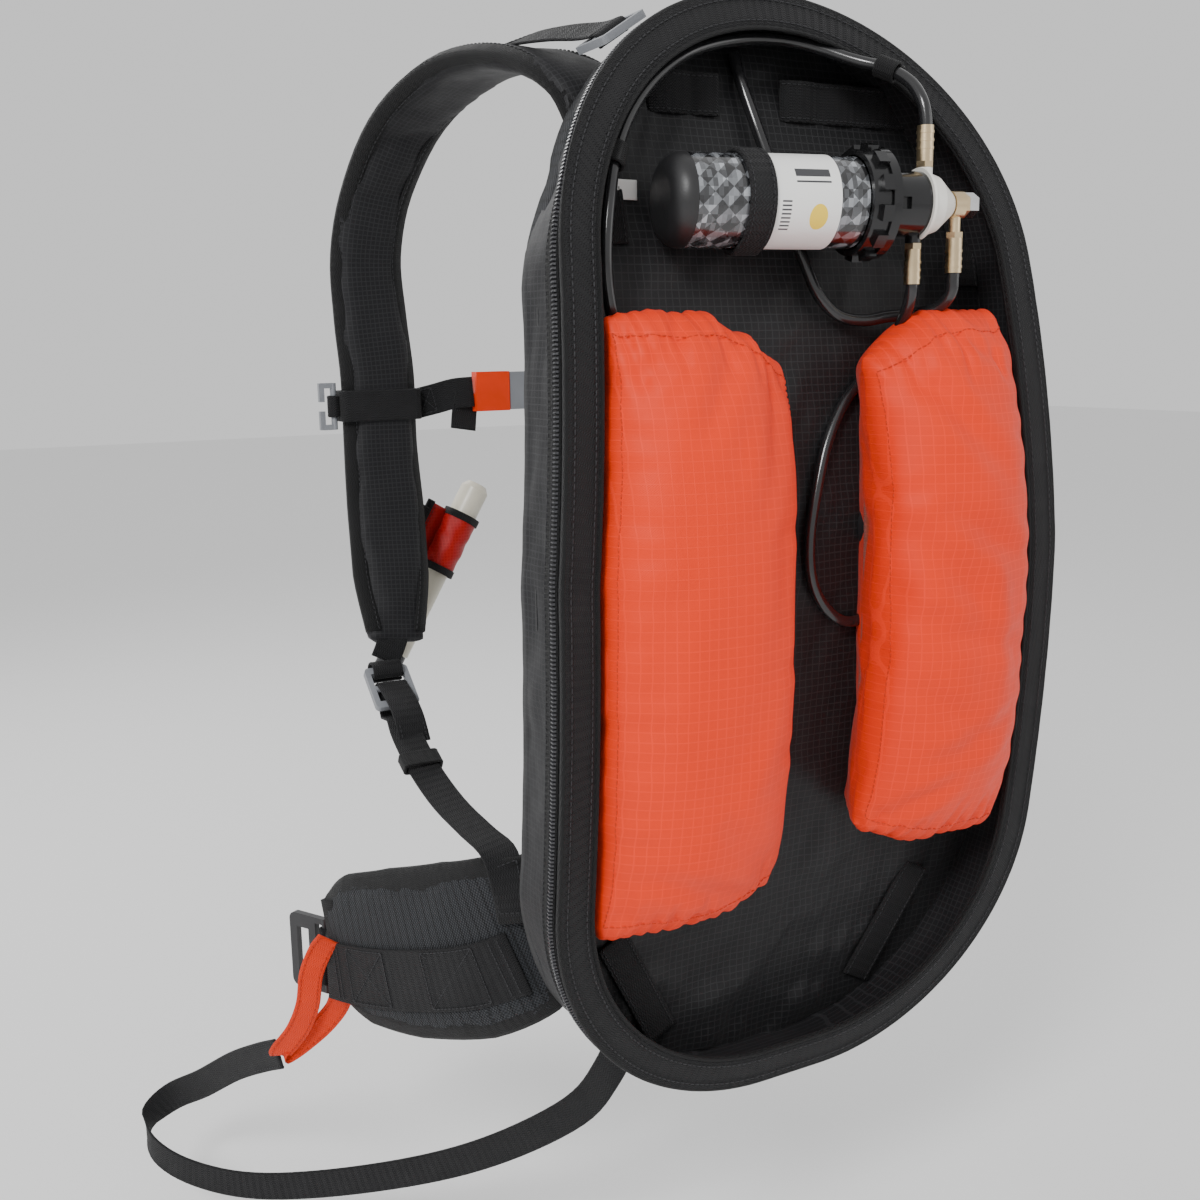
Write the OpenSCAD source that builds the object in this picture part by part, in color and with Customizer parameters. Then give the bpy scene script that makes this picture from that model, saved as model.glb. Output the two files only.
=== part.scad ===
// Avalanche airbag backpack: base unit with its zip-on front open.
// Millimetres. X runs across the back (wearer's left is -X), Y from the open front to the
// wearer, Z up. place() puts the origin where a hook bears on the haul loop.

/* [Pack body] */
// Height of the rim, from its lowest to its highest point
pack_h = 600; // [520:5:660]
// Greatest width of the rim
pack_w = 320; // [280:5:340]
// Depth of the fabric side wall
wall_depth = 52; // [30:1:80]
// Width of the rim band that frames the opening
rim_w = 20; // [12:1:30]
// How far both ends of the rim lean back from its middle
lean = 47.6; // [0:0.1:60]
// How much further the top leans back than the bottom
lean_skew = 14.8; // [0:0.1:25]
// Share of the width that the wall's upper corners lean in at its rear
corner_lean = 0.12; // [0:0.01:0.2]
// Thickness of the foam back panel
panel_t = 18; // [10:1:30]
// How far the lumbar pad stands out of the back panel
lumbar_t = 14; // [0:1:25]

/* [Airbag pouches] */
// Height of the pouches' upper edge
pouch_top = 440; // [400:1:460]
// Height of the left and the right pouch's lower edge
pouch_bottom = [112, 130]; // [90:1:200]
// Distance from the middle to the left and the right pouch's inner edge
pouch_gap = [21, 28]; // [15:1:40]
// How far a stuffed pouch bulges in front of the rim
pouch_bulge = 42; // [20:1:60]

/* [Gas cartridge and valve] */
// Radius of the cartridge
cart_r = 23; // [20:0.5:30]
// Distance behind the front plane at which the cartridge axis crosses the middle
cart_y = 21.5; // [15:0.5:40]
// Angle by which the cartridge's closed end lies deeper than the valve
cart_yaw = 10; // [0:1:15]
// Height of the cartridge axis
cart_z = 490; // [470:1:500]
// Thread pitch of the cartridge
cart_pitch = 1.5; // [1:0.25:2]
// Radius of the valve body
valve_r = 16.5; // [14:0.5:20]
// Radius of the pressure hoses
hose_r = 3.3; // [2.5:0.1:5]

/* [Shoulder straps] */
// Width of a shoulder pad
strap_w = 48; // [40:1:65]
// Thickness of a shoulder pad
strap_t = 12; // [8:1:18]
// Width of the adjusting webbing
web_w = 20; // [15:1:25]
// Thickness of every webbing
web_t = 1.6; // [1:0.1:2.5]
// Height of the chest strap
chest_z = 384; // [365:1:405]
// Radius of the trigger handle
handle_r = 10; // [8:0.5:14]
// Length of the trigger handle
handle_l = 132; // [100:1:150]

/* [Hip belt] */
// Thickness of a hip wing
wing_t = 14; // [8:1:20]
// Width of the hip webbing
hip_web_w = 38; // [25:1:40]
// Width of the leg strap
leg_web_w = 20; // [20:1:30]

/* [Hidden] */
$fn = 48;

// The hook's bearing point on the haul loop
hang = [0, 145, 586];
// Discs whose hull is the rim's outline: [x, z, radius]
outline = [
    [20, 140, 140],
    [0, pack_h / 2, pack_w / 2],
    [0, pack_h - 148, 148]];
// Rows in a lofted panel and steps between two outline discs
rows = 24;
steps = 10;
// Depths behind the rim's front, and how far the wall stands inside the rim's edge
rim_t = 5;
wall_in = 3;
floor_o = 38;
floor_t = 1.6;
sheet_o = 40.2;
sheet_t = 2;
panel_o = 43;
// Clearance between neighbours
gap = 0.4;
// Stations along the cartridge axis
cap_x0 = -84;
cyl_x0 = -72.5;
band_x0 = -46.5;
band_l = 14.5;
label_x1 = 4;
shoulder_x = 20;
ring_x0 = 20.5;
flange_x0 = 30.5;
body_x0 = 35.5;
body_x1 = 60;
cone_x1 = 80;
banjo_x = 83.5;
piston_x = 49;
port_top_x = 64.3;
port_low_x = 58.5;
// Chest strap and its slider bands
chest_y = 288;
strap_x = 138;
strap_y = 306;
band_gap = 2;
// Trigger handle: lower end and direction
handle_at = [-128, 327, 211];
handle_dir = [0.51, 0, 0.86];
// Webbing wrap round a buckle's bar
bar_r = 2.2;
wrap_r = 3.2;

// Routes that cords and webbings follow
hose_left_path = [
    [63.3, 10.3, 515], [63.3, 10.3, 524], [63.3, 10.3, 533], [62.5, 13, 543],
    [61, 21, 553], [56, 33, 561], [45, 47, 567],
    [22, 65, 577], [-9, 70, 577.5], [-42, 67, 569], [-70, 58, 553], [-91, 49, 533],
    [-106, 39, 510], [-114, 31, 488], [-118, 28, 465], [-116, 30, 445],
    [-108, 33, 418], [-96, 34, 388], [-87, 32, 356], [-80, 31, 336], [-78, 31, 326]];
hose_right_path = [
    [57.6, 11.3, 463], [57.6, 11.3, 455], [57.6, 11.5, 446], [59, 16, 437],
    [61, 25, 426], [59, 36, 412], [48, 40, 399],
    [35, 39, 386], [23, 37, 366], [14, 34, 341], [8, 32, 314], [9, 31, 292],
    [18, 31, 276], [33, 31, 266], [52, 31, 269], [63, 31, 279], [66, 31, 290]];
hose_trigger_path = [
    [-9, 82, 572], [-8, 75, 556], [-4, 66, 532], [3, 58.5, 505], [8, 54.5, 485],
    [15, 49, 463], [21, 44, 445], [32, 41, 434], [47, 38, 431], [61, 34, 433],
    [73, 26, 434], [80, 16, 437], [82.2, 8.5, 444], [82.2, 7, 453], [82.2, 7, 461],
    [82.2, 7, 469]];
strap_path = [
    [-72, 92, 504], [-74, 103, 528], [-80, 116, 556], [-93, 152, 576], [-109, 205, 579],
    [-126, 256, 558], [-138, 288, 520], [-143, 303, 480], [-141, strap_y, 440],
    [-strap_x, strap_y, 402], [-strap_x, strap_y, 356], [-138, 301, 310],
    [-141, 288, 264], [-145, 273, 230]];
lifter_path = [
    [-101, 172, 585.2], [-98, 150, 585.6], [-90, 125, 584.2], [-83, 104, 581.6],
    [-81.8, 89, 580.9]];
lower_path = [
    [-158, 233, 190], [-160, 218, 182], [-160, 190, 168], [-158, 158, 156],
    [-155, 126, 149], [-152, 102, 143.5], [-152, 90.5, 130], [-149.5, 87.5, 106]];
chest_left_path = [[-110.5, 306, 384], [-100, 303, 386.5], [-89, 294, 390], [-78, 288, 391]];
chest_right_path = [
    [110.5, 306, 384], [94, 302, 386], [66, 295, 390], [30, 291.8, 391],
    [-8, 291.8, 391], [-42.5, 291.8, 391]];
wing_path = [
    [-118, 87, 105], [-141, 95, 95], [-164, 121, 80], [-187, 164, 66],
    [-203, 200, 58], [-210, 222, 52]];
wing_heights = [80, 96, 104, 102, 92, 66];
leg_path = [
    [-78, 88, 44], [-80, 89, 22], [-87, 99, -8], [-99, 120, -41], [-130, 165, -81], [-168, 210, -110],
    [-220, 262, -133], [-262, 302, -143], [-294, 338, -142], [-311, 366, -134],
    [-309, 385, -123], [-293, 382, -109], [-276, 352, -88], [-261, 315, -61],
    [-250, 283, -42], [-243, 260, -30]];
loop_path = [
    [-220, 210, 64], [-224, 216, 55], [-229, 222, 38],
    [-231, 227, 16], [-236, 236, -4], [-244, 247, -21], [-243, 250, -25],
    [-234, 246, -20], [-222, 237, -7], [-213, 229, 7], [-210.5, 221, 20]];
sleeve_tab = [
    [-104, 326, 297], [-110, 323.5, 300.5], [-115, 316.5, 303.5], [-120, 310, 306.5],
    [-128, 307.5, 311], [-137, 307, 316.5]];
haul_path = [
    [-38, 97, 538], [-38, 107, 548], [-37, 120, 562], [-32, 133, 577], [-18, 142, 588],
    [0, 145, 591], [18, 142, 588], [32, 133, 577], [37, 120, 562], [38, 107, 548],
    [38, 97, 538]];

// ---------------------------------------------------------------- curves and lofts

// Scaled height: -1 at the bottom of the rim, 1 at its top
function s(z) = 2 * z / pack_h - 1;

// How far back the rim's front lies at a height
function bend(z) = lean * s(z) ^ 2 + lean_skew * s(z) ^ 3;

// Half width at height z of one disc
function disc_w(c, z) =
    abs(z - c[1]) <= c[2] + 0.001 ? c[0] + sqrt(max(0, c[2] ^ 2 - (z - c[1]) ^ 2)) : 0;

// Half width at height z of the outline grown by d
function half_w(z, d = 0) = max([
    for (k = [0, 1], i = [0:steps])
        disc_w(outline[k] + (outline[k + 1] - outline[k]) * i / steps + [0, 0, d], z)]);

// The same at set back o: the wall's upper corners lean in towards its rear
function wall_w(z, d, o) = let (k = min(1, max(0, (z - 450) / 60)))
    half_w(z, d) * (1 - corner_lean * o / wall_depth * k * k * (3 - 2 * k));

// Heights of the rows, closer together at both ends
function row_z(i, d = 0) = -d + (pack_h + 2 * d) * (1 - cos(180 * i / rows)) / 2;

// The outline as a closed loop, grown by d and set back by o
function loop(d, o) = concat(
    [for (i = [0:rows]) let (z = row_z(i, d)) [wall_w(z, d, o), bend(z) + o, z]],
    [for (i = [rows - 1:-1:0]) let (z = row_z(i, d)) [-wall_w(z, d, o), bend(z) + o, z]]);

function unit(v) = v / norm(v);

// Points along a smooth curve through p, n to each stretch
function spline(p, n = 4) = let (m = len(p) - 1) [
    for (i = [0:m - 1], k = [0:n - (i == m - 1 ? 0 : 1)])
        let (
            t = k / n,
            a = i == 0 ? 2 * p[0] - p[1] : p[i - 1],
            b = p[i],
            c = p[i + 1],
            d = i == m - 1 ? 2 * p[m] - p[m - 1] : p[i + 2])
        0.5 * (2 * b + (c - a) * t + (2 * a - 5 * b + 4 * c - d) * t ^ 2
            + (3 * b - a - 3 * c + d) * t ^ 3)];

// A list's value at a share t of its length
function along(v, t) = let (x = t * (len(v) - 1), i = min(floor(x), len(v) - 2))
    v[i] + (v[i + 1] - v[i]) * (x - i);

function tangent(p, i) = unit(p[min(i + 1, len(p) - 1)] - p[max(i - 1, 0)]);

// A path moved sideways in plan by d, to its left as seen from above
function beside(p, d) = [
    for (i = [0:len(p) - 1])
        let (t = tangent(p, i), f = unit([t[0], t[1]])) p[i] + d * [-f[1], f[0], 0]];

// Six times the volume that triangles enclose; its sign tells which way they face
function signed_volume(p, f) = [for (t = f) cross(p[t[0]], p[t[1]]) * p[t[2]]]
    * [for (t = f) 1];

// A closed solid of triangles, turned the right way out
module shell(p, f) {
    out = signed_volume(p, f) < 0;
    polyhedron(points = p, faces = out ? f : [for (t = f) [t[2], t[1], t[0]]]);
}

// Triangles between m rings of n points; closed joins the last ring to the first
function ring_faces(m, n, closed = false) = [
    for (i = [0:m - (closed ? 1 : 2)], j = [0:n - 1])
        let (a = i * n + j, b = i * n + (j + 1) % n, k = ((i + 1) % m) * n)
        each [[a, b, k + (j + 1) % n], [a, k + (j + 1) % n, k + j]]];

// A solid lofted through rings, with both ends closed by a fan
module loft(rings) {
    m = len(rings);
    n = len(rings[0]);
    shell([for (r = rings) each r], concat(
        ring_faces(m, n),
        [for (j = [1:n - 2]) [0, j + 1, j]],
        [for (j = [1:n - 2]) (m - 1) * n * [1, 1, 1] + [0, j, j + 1]]));
}

// A closed ring round the outline with a profile of [growth, set back] points
module loop_sweep(profile) {
    loops = [for (q = profile) loop(q[0], q[1])];
    shell([for (r = loops) each r], ring_faces(len(loops), len(loops[0]), true));
}

// A bent panel inside the outline grown by d, from set back o to o + t
module bent_panel(d, o, t) {
    loft([
        for (i = [1:rows - 1])
            let (z = row_z(i, d), w = wall_w(z, d, o), y = bend(z) + o)
            [[-w, y, z], [w, y, z], [w, y + t, z], [-w, y + t, z]]]);
}

// A solid between two grids of points with the same rows and columns
module between(front, back) {
    m = len(front);
    n = len(front[0]);
    rim = concat(
        [for (j = [0:n - 2]) j],
        [for (i = [0:m - 2]) i * n + n - 1],
        [for (j = [n - 1:-1:1]) (m - 1) * n + j],
        [for (i = [m - 1:-1:1]) i * n]);
    k = m * n;
    shell(
        concat([for (r = front) each r], [for (r = back) each r]),
        concat(
            [for (i = [0:m - 2], j = [0:n - 2])
                let (a = i * n + j)
                each [[a, a + 1, a + n + 1], [a, a + n + 1, a + n]]],
            [for (i = [0:m - 2], j = [0:n - 2])
                let (a = k + i * n + j)
                each [[a, a + n + 1, a + 1], [a, a + n, a + n + 1]]],
            [for (i = [0:len(rim) - 1])
                let (a = rim[i], b = rim[(i + 1) % len(rim)])
                each [[a, k + b, b], [a, k + a, k + b]]]));
}

// A round hose or cord along a path
module tube(path, r, n = 8) {
    p = spline(path, 3);
    loft([
        for (i = [0:len(p) - 1])
            let (
                t = tangent(p, i),
                u = unit(cross(t, abs(t[1]) < 0.9 ? [0, 1, 0] : [1, 0, 0])),
                v = cross(t, u))
            [for (j = [0:n - 1]) p[i] + r * (cos(360 * j / n) * u + sin(360 * j / n) * v)]]);
}

// Flat webbing along points already close together; its width turns from across to last
module webbing(p, width, across, t = web_t, last = undef) {
    end = is_undef(last) ? across : last;
    loft([
        for (i = [0:len(p) - 1])
            let (
                f = tangent(p, i),
                c = across + (end - across) * i / (len(p) - 1),
                a = unit(c - (c * f) * f) * width / 2,
                b = cross(f, unit(a)) * t / 2)
            [p[i] - a - b, p[i] + a - b, p[i] + a + b, p[i] - a + b]]);
}

// A padded band with rounded long edges; widths is a list spread along the path
module padding(p, widths, across, t) {
    loft([
        for (i = [0:len(p) - 1])
            let (
                f = tangent(p, i),
                w = along(widths, i / (len(p) - 1)) / 2,
                a = unit(across - (across * f) * f),
                b = cross(f, a) * t / 2,
                e = a * (w - t * 0.3))
            [p[i] - e - b, p[i] + e - b, p[i] + a * w - b / 3, p[i] + a * w + b / 3,
                p[i] + e + b, p[i] - e + b, p[i] - a * w + b / 3, p[i] - a * w - b / 3]]);
}

// Rectangle with round corners
module round_rect(w, h, r) {
    square([w - 2 * r, h], center = true);
    square([w, h - 2 * r], center = true);
    for (x = [-1, 1], y = [-1, 1])
        translate([x * (w / 2 - r), y * (h / 2 - r)]) circle(r);
}

// Moves design coordinates to the library frame
module place() {
    translate(-hang) children();
}

// Puts a shape drawn along +Z on the cartridge axis at station x
module on_axis(x) {
    translate([0, cart_y, cart_z]) rotate(-cart_yaw) translate([x, 0, 0])
        rotate([0, 90, 0]) children();
}

// Keeps upright a shape placed at station x and offset z from the axis
module at_axis(x, z = 0) {
    translate([0, cart_y, cart_z]) rotate(-cart_yaw) translate([x, 0, z]) children();
}

module pipe(r1, r2, h) {
    difference() {
        cylinder(h = h, r = r2);
        translate([0, 0, -1]) cylinder(h = h + 2, r = r1);
    }
}

module both(side) {
    if (side < 0) children();
    else mirror([1, 0, 0]) children();
}

// ---------------------------------------------------------------- pack body

// Foam back panel with the lumbar pad
module back_panel() {
    d = -wall_in - 2.5;
    cols = 8;
    zs = [for (i = [1:rows - 1]) row_z(i, d)];
    function bump(x, z) = lumbar_t * max(0, 1 - (x / 95) ^ 4) * exp(-((z - 110) / 62) ^ 4)
        + 4 * max(0, 1 - (abs(abs(x) - 70) / 42) ^ 2) * exp(-((z - 380) / 120) ^ 4);
    color([0.32, 0.33, 0.35]) place() between(
        [for (z = zs) [for (j = [0:cols]) [wall_w(z, d, wall_depth) * (2 * j / cols - 1),
            bend(z) + panel_o, z]]],
        [for (z = zs) [for (j = [0:cols])
            let (x = wall_w(z, d, wall_depth) * (2 * j / cols - 1), e = abs(2 * j / cols - 1))
            [x, bend(z) + panel_o + (e > 0.99 ? 0.6 : 1) * panel_t + bump(x, z), z]]]);
}

// Stiffening sheet that carries the valve and the harness
module frame_sheet() {
    color([0.2, 0.2, 0.21]) place() bent_panel(-wall_in - 8, sheet_o, sheet_t);
}

// Fabric wall all round the opening
module side_gusset() {
    color([0.1, 0.1, 0.11]) place() loop_sweep([
        [-wall_in, rim_t + 0.3], [-wall_in, wall_depth], [-wall_in - 2, wall_depth],
        [-wall_in - 2, rim_t + 0.3]]);
}

// Ripstop lining behind the pouches
module floor_liner() {
    color([0.13, 0.13, 0.14]) place() bent_panel(-wall_in - 2.5, floor_o, floor_t);
}

// Stiff band that frames the opening
module rim_band() {
    color([0.08, 0.08, 0.09]) place() loop_sweep([
        [0, 1], [0, rim_t - 1], [-1, rim_t], [-rim_w, rim_t], [-rim_w, 2],
        [-rim_w + 4, 0], [-1, 0]]);
}

// Zip tape sewn round the wall
module zip_tape() {
    color([0.06, 0.06, 0.07]) place() loop_sweep([
        [0.3 - wall_in, 9], [1.5 - wall_in, 9], [1.5 - wall_in, 23], [0.3 - wall_in, 23]]);
}

// Zip coil on the tape's front edge
module zip_teeth() {
    color([0.15, 0.15, 0.16]) place() loop_sweep([
        [1.8 - wall_in, 9.5], [3.4 - wall_in, 10], [3.4 - wall_in, 13],
        [1.8 - wall_in, 13.5]]);
}

// ---------------------------------------------------------------- airbag pouches

pouch_cols = 12;
pouch_rows = 15;
// How far the seam on the floor lies inside the bulging side
tuck = 15;
// Share of the height at which the bulge begins
shoulder = 0.42;
// Set back of the airbags' rear, in front of the hoses
bag_o = 24;
// Where a hose passes under a pouch's seam: [x, z]
left_mouths = [[-111, 426]];
right_mouths = [[58, 420], [48, 399], [38, 389], [40, 269]];

function pouch_outer(z) = half_w(z) - rim_w - 2;

// Upper and lower edge of a pouch at distance x from the middle, with cut inner corners
function cut(x, k) = max(0, (68 - x) / (68 - pouch_gap[k]));
function pouch_hi(x, k) = pouch_top - 26 * cut(x, k);
function pouch_lo(x, k) = pouch_bottom[k] + 15 * cut(x, k);

// Height of the pouch's dome, 0 to 1, at u across and v up, both -1 to 1
function dome(u, v) = (1 - abs(u) ^ 2.6) ^ 0.6 * (1 - abs(v) ^ 4) ^ 0.6;

// Share of the way along n steps, closer together at both ends, -1 to 1
function share(i, n) = 0.5 * (2 * i / n - 1) - 0.5 * cos(180 * i / n);

// Grid of a pouch's skin: the first and last row and column are its seam on the floor.
// inset shrinks it, and seam_o is the seam's set back
function pouch_grid(inset, side, mouths, seam_o) = [
    for (i = [0:pouch_rows + 2]) [
        for (j = [0:pouch_cols + 2])
            let (
                seam = i == 0 || j == 0 || i == pouch_rows + 2 || j == pouch_cols + 2,
                v = share(min(max(i - 1, 0), pouch_rows), pouch_rows),
                u = share(min(max(j - 1, 0), pouch_cols), pouch_cols),
                k = side < 0 ? 0 : 1,
                in = inset + (seam ? tuck : 0),
                low = pouch_bottom[k],
                zm = (pouch_top + low) / 2 + v * (pouch_top - low) / 2,
                x0 = pouch_gap[k] + in,
                x1 = pouch_outer(zm) - in * 0.6,
                x = x0 + (x1 - x0) * (u + 1) / 2,
                z = ((1 - v) * (pouch_lo(x, k) + in) + (1 + v) * (pouch_hi(x, k) - in)) / 2,
                near = min(concat(999, [for (m = mouths) norm([side * x, z] - m)])),
                base = floor_o - gap,
                top = inset + 14 - pouch_bulge - bend(z) * 0.35,
                h = shoulder + (1 - shoulder) * dome(u, v),
                o = seam ? seam_o - 13 * exp(-(near / 17) ^ 4) : base + h * (top - base))
            [side * x, bend(z) + o, z]]];

function without_seam(g) = [
    for (i = [1:len(g) - 2]) [for (j = [1:len(g[0]) - 2]) g[i][j]]];

// Fabric pocket that covers a folded airbag
module pouch(side, mouths) {
    color([0.93, 0.27, 0.08]) place() between(
        pouch_grid(0, side, mouths, floor_o - gap),
        pouch_grid(2, side, mouths, floor_o - gap));
}

module left_pouch() {
    pouch(-1, left_mouths);
}

module right_pouch() {
    pouch(1, right_mouths);
}

// Folded airbag inside a pouch
module airbag(side) {
    color([0.85, 0.3, 0.12]) place() between(
        without_seam(pouch_grid(3.5, side, [], 0)),
        [for (r = without_seam(pouch_grid(12, side, [], 0)))
            [for (p = r) [p[0], bend(p[2]) + bag_o, p[2]]]]);
}

module left_airbag() {
    airbag(-1);
}

module right_airbag() {
    airbag(1);
}

// Ejector valve that inflates an airbag: throat through it and a hose nipple
module inflator(x, z, up) {
    color([0.2, 0.2, 0.22]) place() translate([x, 31, z]) difference() {
        union() {
            rotate([90, 0, 0]) cylinder(h = 9, r = 22, center = true);
            rotate([up, 0, 0]) translate([0, 0, 15]) cylinder(h = 12, r = 3.2);
        }
        rotate([90, 0, 0]) cylinder(h = 12, r = 13, center = true);
    }
}

module left_inflator() {
    inflator(-78, 296, 0);
}

module right_inflator() {
    inflator(66, 318, 180);
}

// ---------------------------------------------------------------- floor and back details

// One webbing band on the floor from [x, z] to [x, z]
module floor_band(a, b, w) {
    n = 4;
    d = unit(b - a);
    q = [-d[1], d[0]] * w / 2;
    function at(p, o) = [p[0], bend(p[1]) + floor_o + o, p[1]];
    loft([
        for (i = [0:n])
            let (p = a + (b - a) * i / n)
            [at(p - q, -2.1), at(p + q, -2.1), at(p + q, -gap), at(p - q, -gap)]]);
}

// Webbing bands sewn to the floor
module floor_webbing() {
    color([0.1, 0.1, 0.11]) place() {
        floor_band([18, 549], [104, 549], 22);
        floor_band([-66, 549], [-24, 549], 22);
        floor_band([-101, 528], [-101, 470], 20);
        floor_band([130, 500], [130, 450], 20);
        floor_band([-108, 100], [-70, 30], 20);
        floor_band([108, 100], [70, 30], 20);
    }
}

// Blank care label at the upper left
module care_label() {
    color([0.85, 0.85, 0.84]) place() {
        z = 497;
        translate([-95, bend(z) + floor_o - 2.6, z]) rotate([-14, 0, 0])
            cube([26, 0.6, 14], center = true);
    }
}

// Carrying loop at the top of the back
module haul_loop() {
    color([0.1, 0.1, 0.11]) place() tube(haul_path, 5);
}

// ---------------------------------------------------------------- valve on the floor

// Saddle that carries the valve on the frame
module valve_bracket() {
    color([0.12, 0.12, 0.13]) place() difference() {
        translate([44, 14, cart_z - 12]) cube([16, 52, 24]);
        on_axis(body_x0 - 5) cylinder(h = 40, r = valve_r + 0.05);
        translate([40, -20, cart_z - 20]) cube([30, 40, 40]);
        translate([40, bend(cart_z) + floor_o - 0.7, cart_z]) rotate([-14.5, 0, 0])
            translate([0, 0, -40]) cube([30, 40, 80]);
    }
}

// Elastic strap round the cartridge, sewn to the floor
module cartridge_strap() {
    color([0.07, 0.07, 0.08]) place() {
        on_axis(band_x0) pipe(cart_r + 0.7, cart_r + 2.7, band_l);
        at_axis(band_x0, -12) translate([0, cart_r + 2.4, 0]) cube([band_l, 3, 10]);
    }
}

// Piercing valve: flange and body with their bores
module valve_body() {
    color([0.06, 0.06, 0.07]) place() difference() {
        union() {
            on_axis(flange_x0 + 0.2) cylinder(h = 5, r = 28);
            on_axis(body_x0) cylinder(h = body_x1 - body_x0, r = valve_r);
            at_axis(port_low_x, -valve_r - 3.4) cylinder(h = 6, r = 4.2);
        }
        on_axis(30) cylinder(h = 4, r = 8.1);
        on_axis(30) cylinder(h = 12.5, r = 7);
        on_axis(42) cylinder(h = body_x1 - 41, r = 10);
        at_axis(42.5, -4) translate([0, -valve_r - 1, 0]) cube([5, 3.5, 6]);
    }
}

// Castellated ring that guards the cartridge's neck
module retaining_ring() {
    lugs = 12;
    color([0.06, 0.06, 0.07]) place() on_axis(ring_x0) {
        pipe(cart_r + 0.7, 26.5, flange_x0 - ring_x0);
        for (i = [0:lugs - 1])
            rotate(360 * (i + 0.5) / lugs) translate([26, -4, 4]) cube([3.4, 8, 6]);
    }
}

// White sealing disc behind the valve body
module seal_disc() {
    color([0.88, 0.87, 0.84]) place() difference() {
        on_axis(body_x1) pipe(3.1, 18.4, 1.6);
        at_axis(port_top_x, 10) cylinder(h = 12, r = 4.3);
        at_axis(port_low_x, -22) cylinder(h = 12, r = 4.3);
    }
}

// White outlet cone with the port of the left hose
module valve_cone() {
    color([0.9, 0.89, 0.86]) place() difference() {
        union() {
            on_axis(body_x1 + 1.6) cylinder(h = 8, r1 = 17, r2 = 14.5);
            on_axis(body_x1 + 9.6) cylinder(h = cone_x1 - body_x1 - 9.6, r1 = 14.5, r2 = 6);
            at_axis(port_top_x, 12) cylinder(h = 6.5, r = 4.2);
        }
        on_axis(body_x1) cylinder(h = 30, r = 3.1);
        at_axis(port_low_x, -22) cylinder(h = 12, r = 4.3);
    }
}

// Hollow bolt through the banjo
module banjo_bolt() {
    color([0.75, 0.72, 0.66]) place() {
        on_axis(body_x1 + 1) cylinder(h = 29, r = 3.04);
        on_axis(89.2) cylinder(h = 5.3, r = 6.5, $fn = 6);
    }
}

// Banjo fitting that takes the trigger hose, and its nut
module banjo_ring() {
    color([0.74, 0.6, 0.38]) place() difference() {
        union() {
            on_axis(cone_x1 + 0.3) cylinder(h = 6.4, r = 7);
            on_axis(cone_x1 + 6.7) cylinder(h = 2.3, r = 6.8, $fn = 6);
            at_axis(banjo_x, -14) cylinder(h = 10, r = 3);
        }
        on_axis(75) cylinder(h = 20, r = 3.1);
    }
}

// Crimped ferrule with its hexagon and nipple, drawn from the port outwards along +Z
module ferrule() {
    pipe(hose_r + 0.05, 4.3, 16);
    translate([0, 0, -2]) cylinder(h = 2, r = 4.3);
    for (z = [4, 8, 12]) translate([0, 0, z]) pipe(4.2, 4.6, 1.4);
    translate([0, 0, -5]) cylinder(h = 3, r = 4.8, $fn = 6);
}

// Ferrules of the three hoses
module hose_ferrules() {
    color([0.78, 0.66, 0.46]) place() {
        at_axis(port_top_x, 23.6) ferrule();
        at_axis(port_low_x, -valve_r - 8.5) rotate([180, 0, 0]) ferrule();
        at_axis(banjo_x, -19.1) rotate([180, 0, 0]) ferrule();
    }
}

module hose_left() {
    color([0.05, 0.05, 0.05]) place() tube(hose_left_path, hose_r);
}

module hose_right() {
    color([0.05, 0.05, 0.05]) place() tube(hose_right_path, hose_r);
}

module hose_trigger() {
    color([0.05, 0.05, 0.05]) place() tube(hose_trigger_path, hose_r);
}

// ---------------------------------------------------------------- cartridge and piston

// Pressure cylinder with its neck and burst disc recess
module cartridge_cylinder() {
    color([0.35, 0.36, 0.38]) place() difference() {
        union() {
            on_axis(cyl_x0) cylinder(h = shoulder_x - cyl_x0, r = cart_r);
            on_axis(shoulder_x) cylinder(h = 5, r1 = cart_r, r2 = 11);
            on_axis(shoulder_x + 4) cylinder(h = 9, r = 8);
            on_axis(shoulder_x + 12) cylinder(h = 8, r = 5.6);
        }
        on_axis(shoulder_x + 15) cylinder(h = 10, r = 2.6);
    }
}

// Rounded end of the cartridge
module cartridge_cap() {
    l = cyl_x0 - cap_x0;
    color([0.08, 0.08, 0.09]) place() on_axis(cap_x0) rotate_extrude() {
        square([cart_r - 9.8, l - 0.2]);
        translate([0, 10]) square([cart_r + 0.2, l - 10.2]);
        intersection() {
            translate([cart_r - 9.8, 10]) circle(10);
            square([cart_r + 0.2, 11]);
        }
    }
}

// Blank paper label round the cartridge
module cartridge_label() {
    color([0.9, 0.9, 0.88]) place() on_axis(band_x0 + band_l + 0.3)
        pipe(cart_r + 0.05, cart_r + 0.35, label_x1 - band_x0 - band_l - 0.3);
}

// O-ring on the cartridge's tip
module neck_seal() {
    color([0.1, 0.1, 0.1]) place() on_axis(35.5) pipe(5.65, 6.95, 2);
}

// Piston that drives the needle into the burst disc
module piercing_piston() {
    color([0.8, 0.8, 0.82]) place() {
        on_axis(piston_x) cylinder(h = 4, r = 9.93);
        on_axis(43) cylinder(h = piston_x - 42.5, r = 1.8);
        on_axis(41.6) cylinder(h = 1.5, r1 = 0.4, r2 = 1.8);
    }
}

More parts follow.
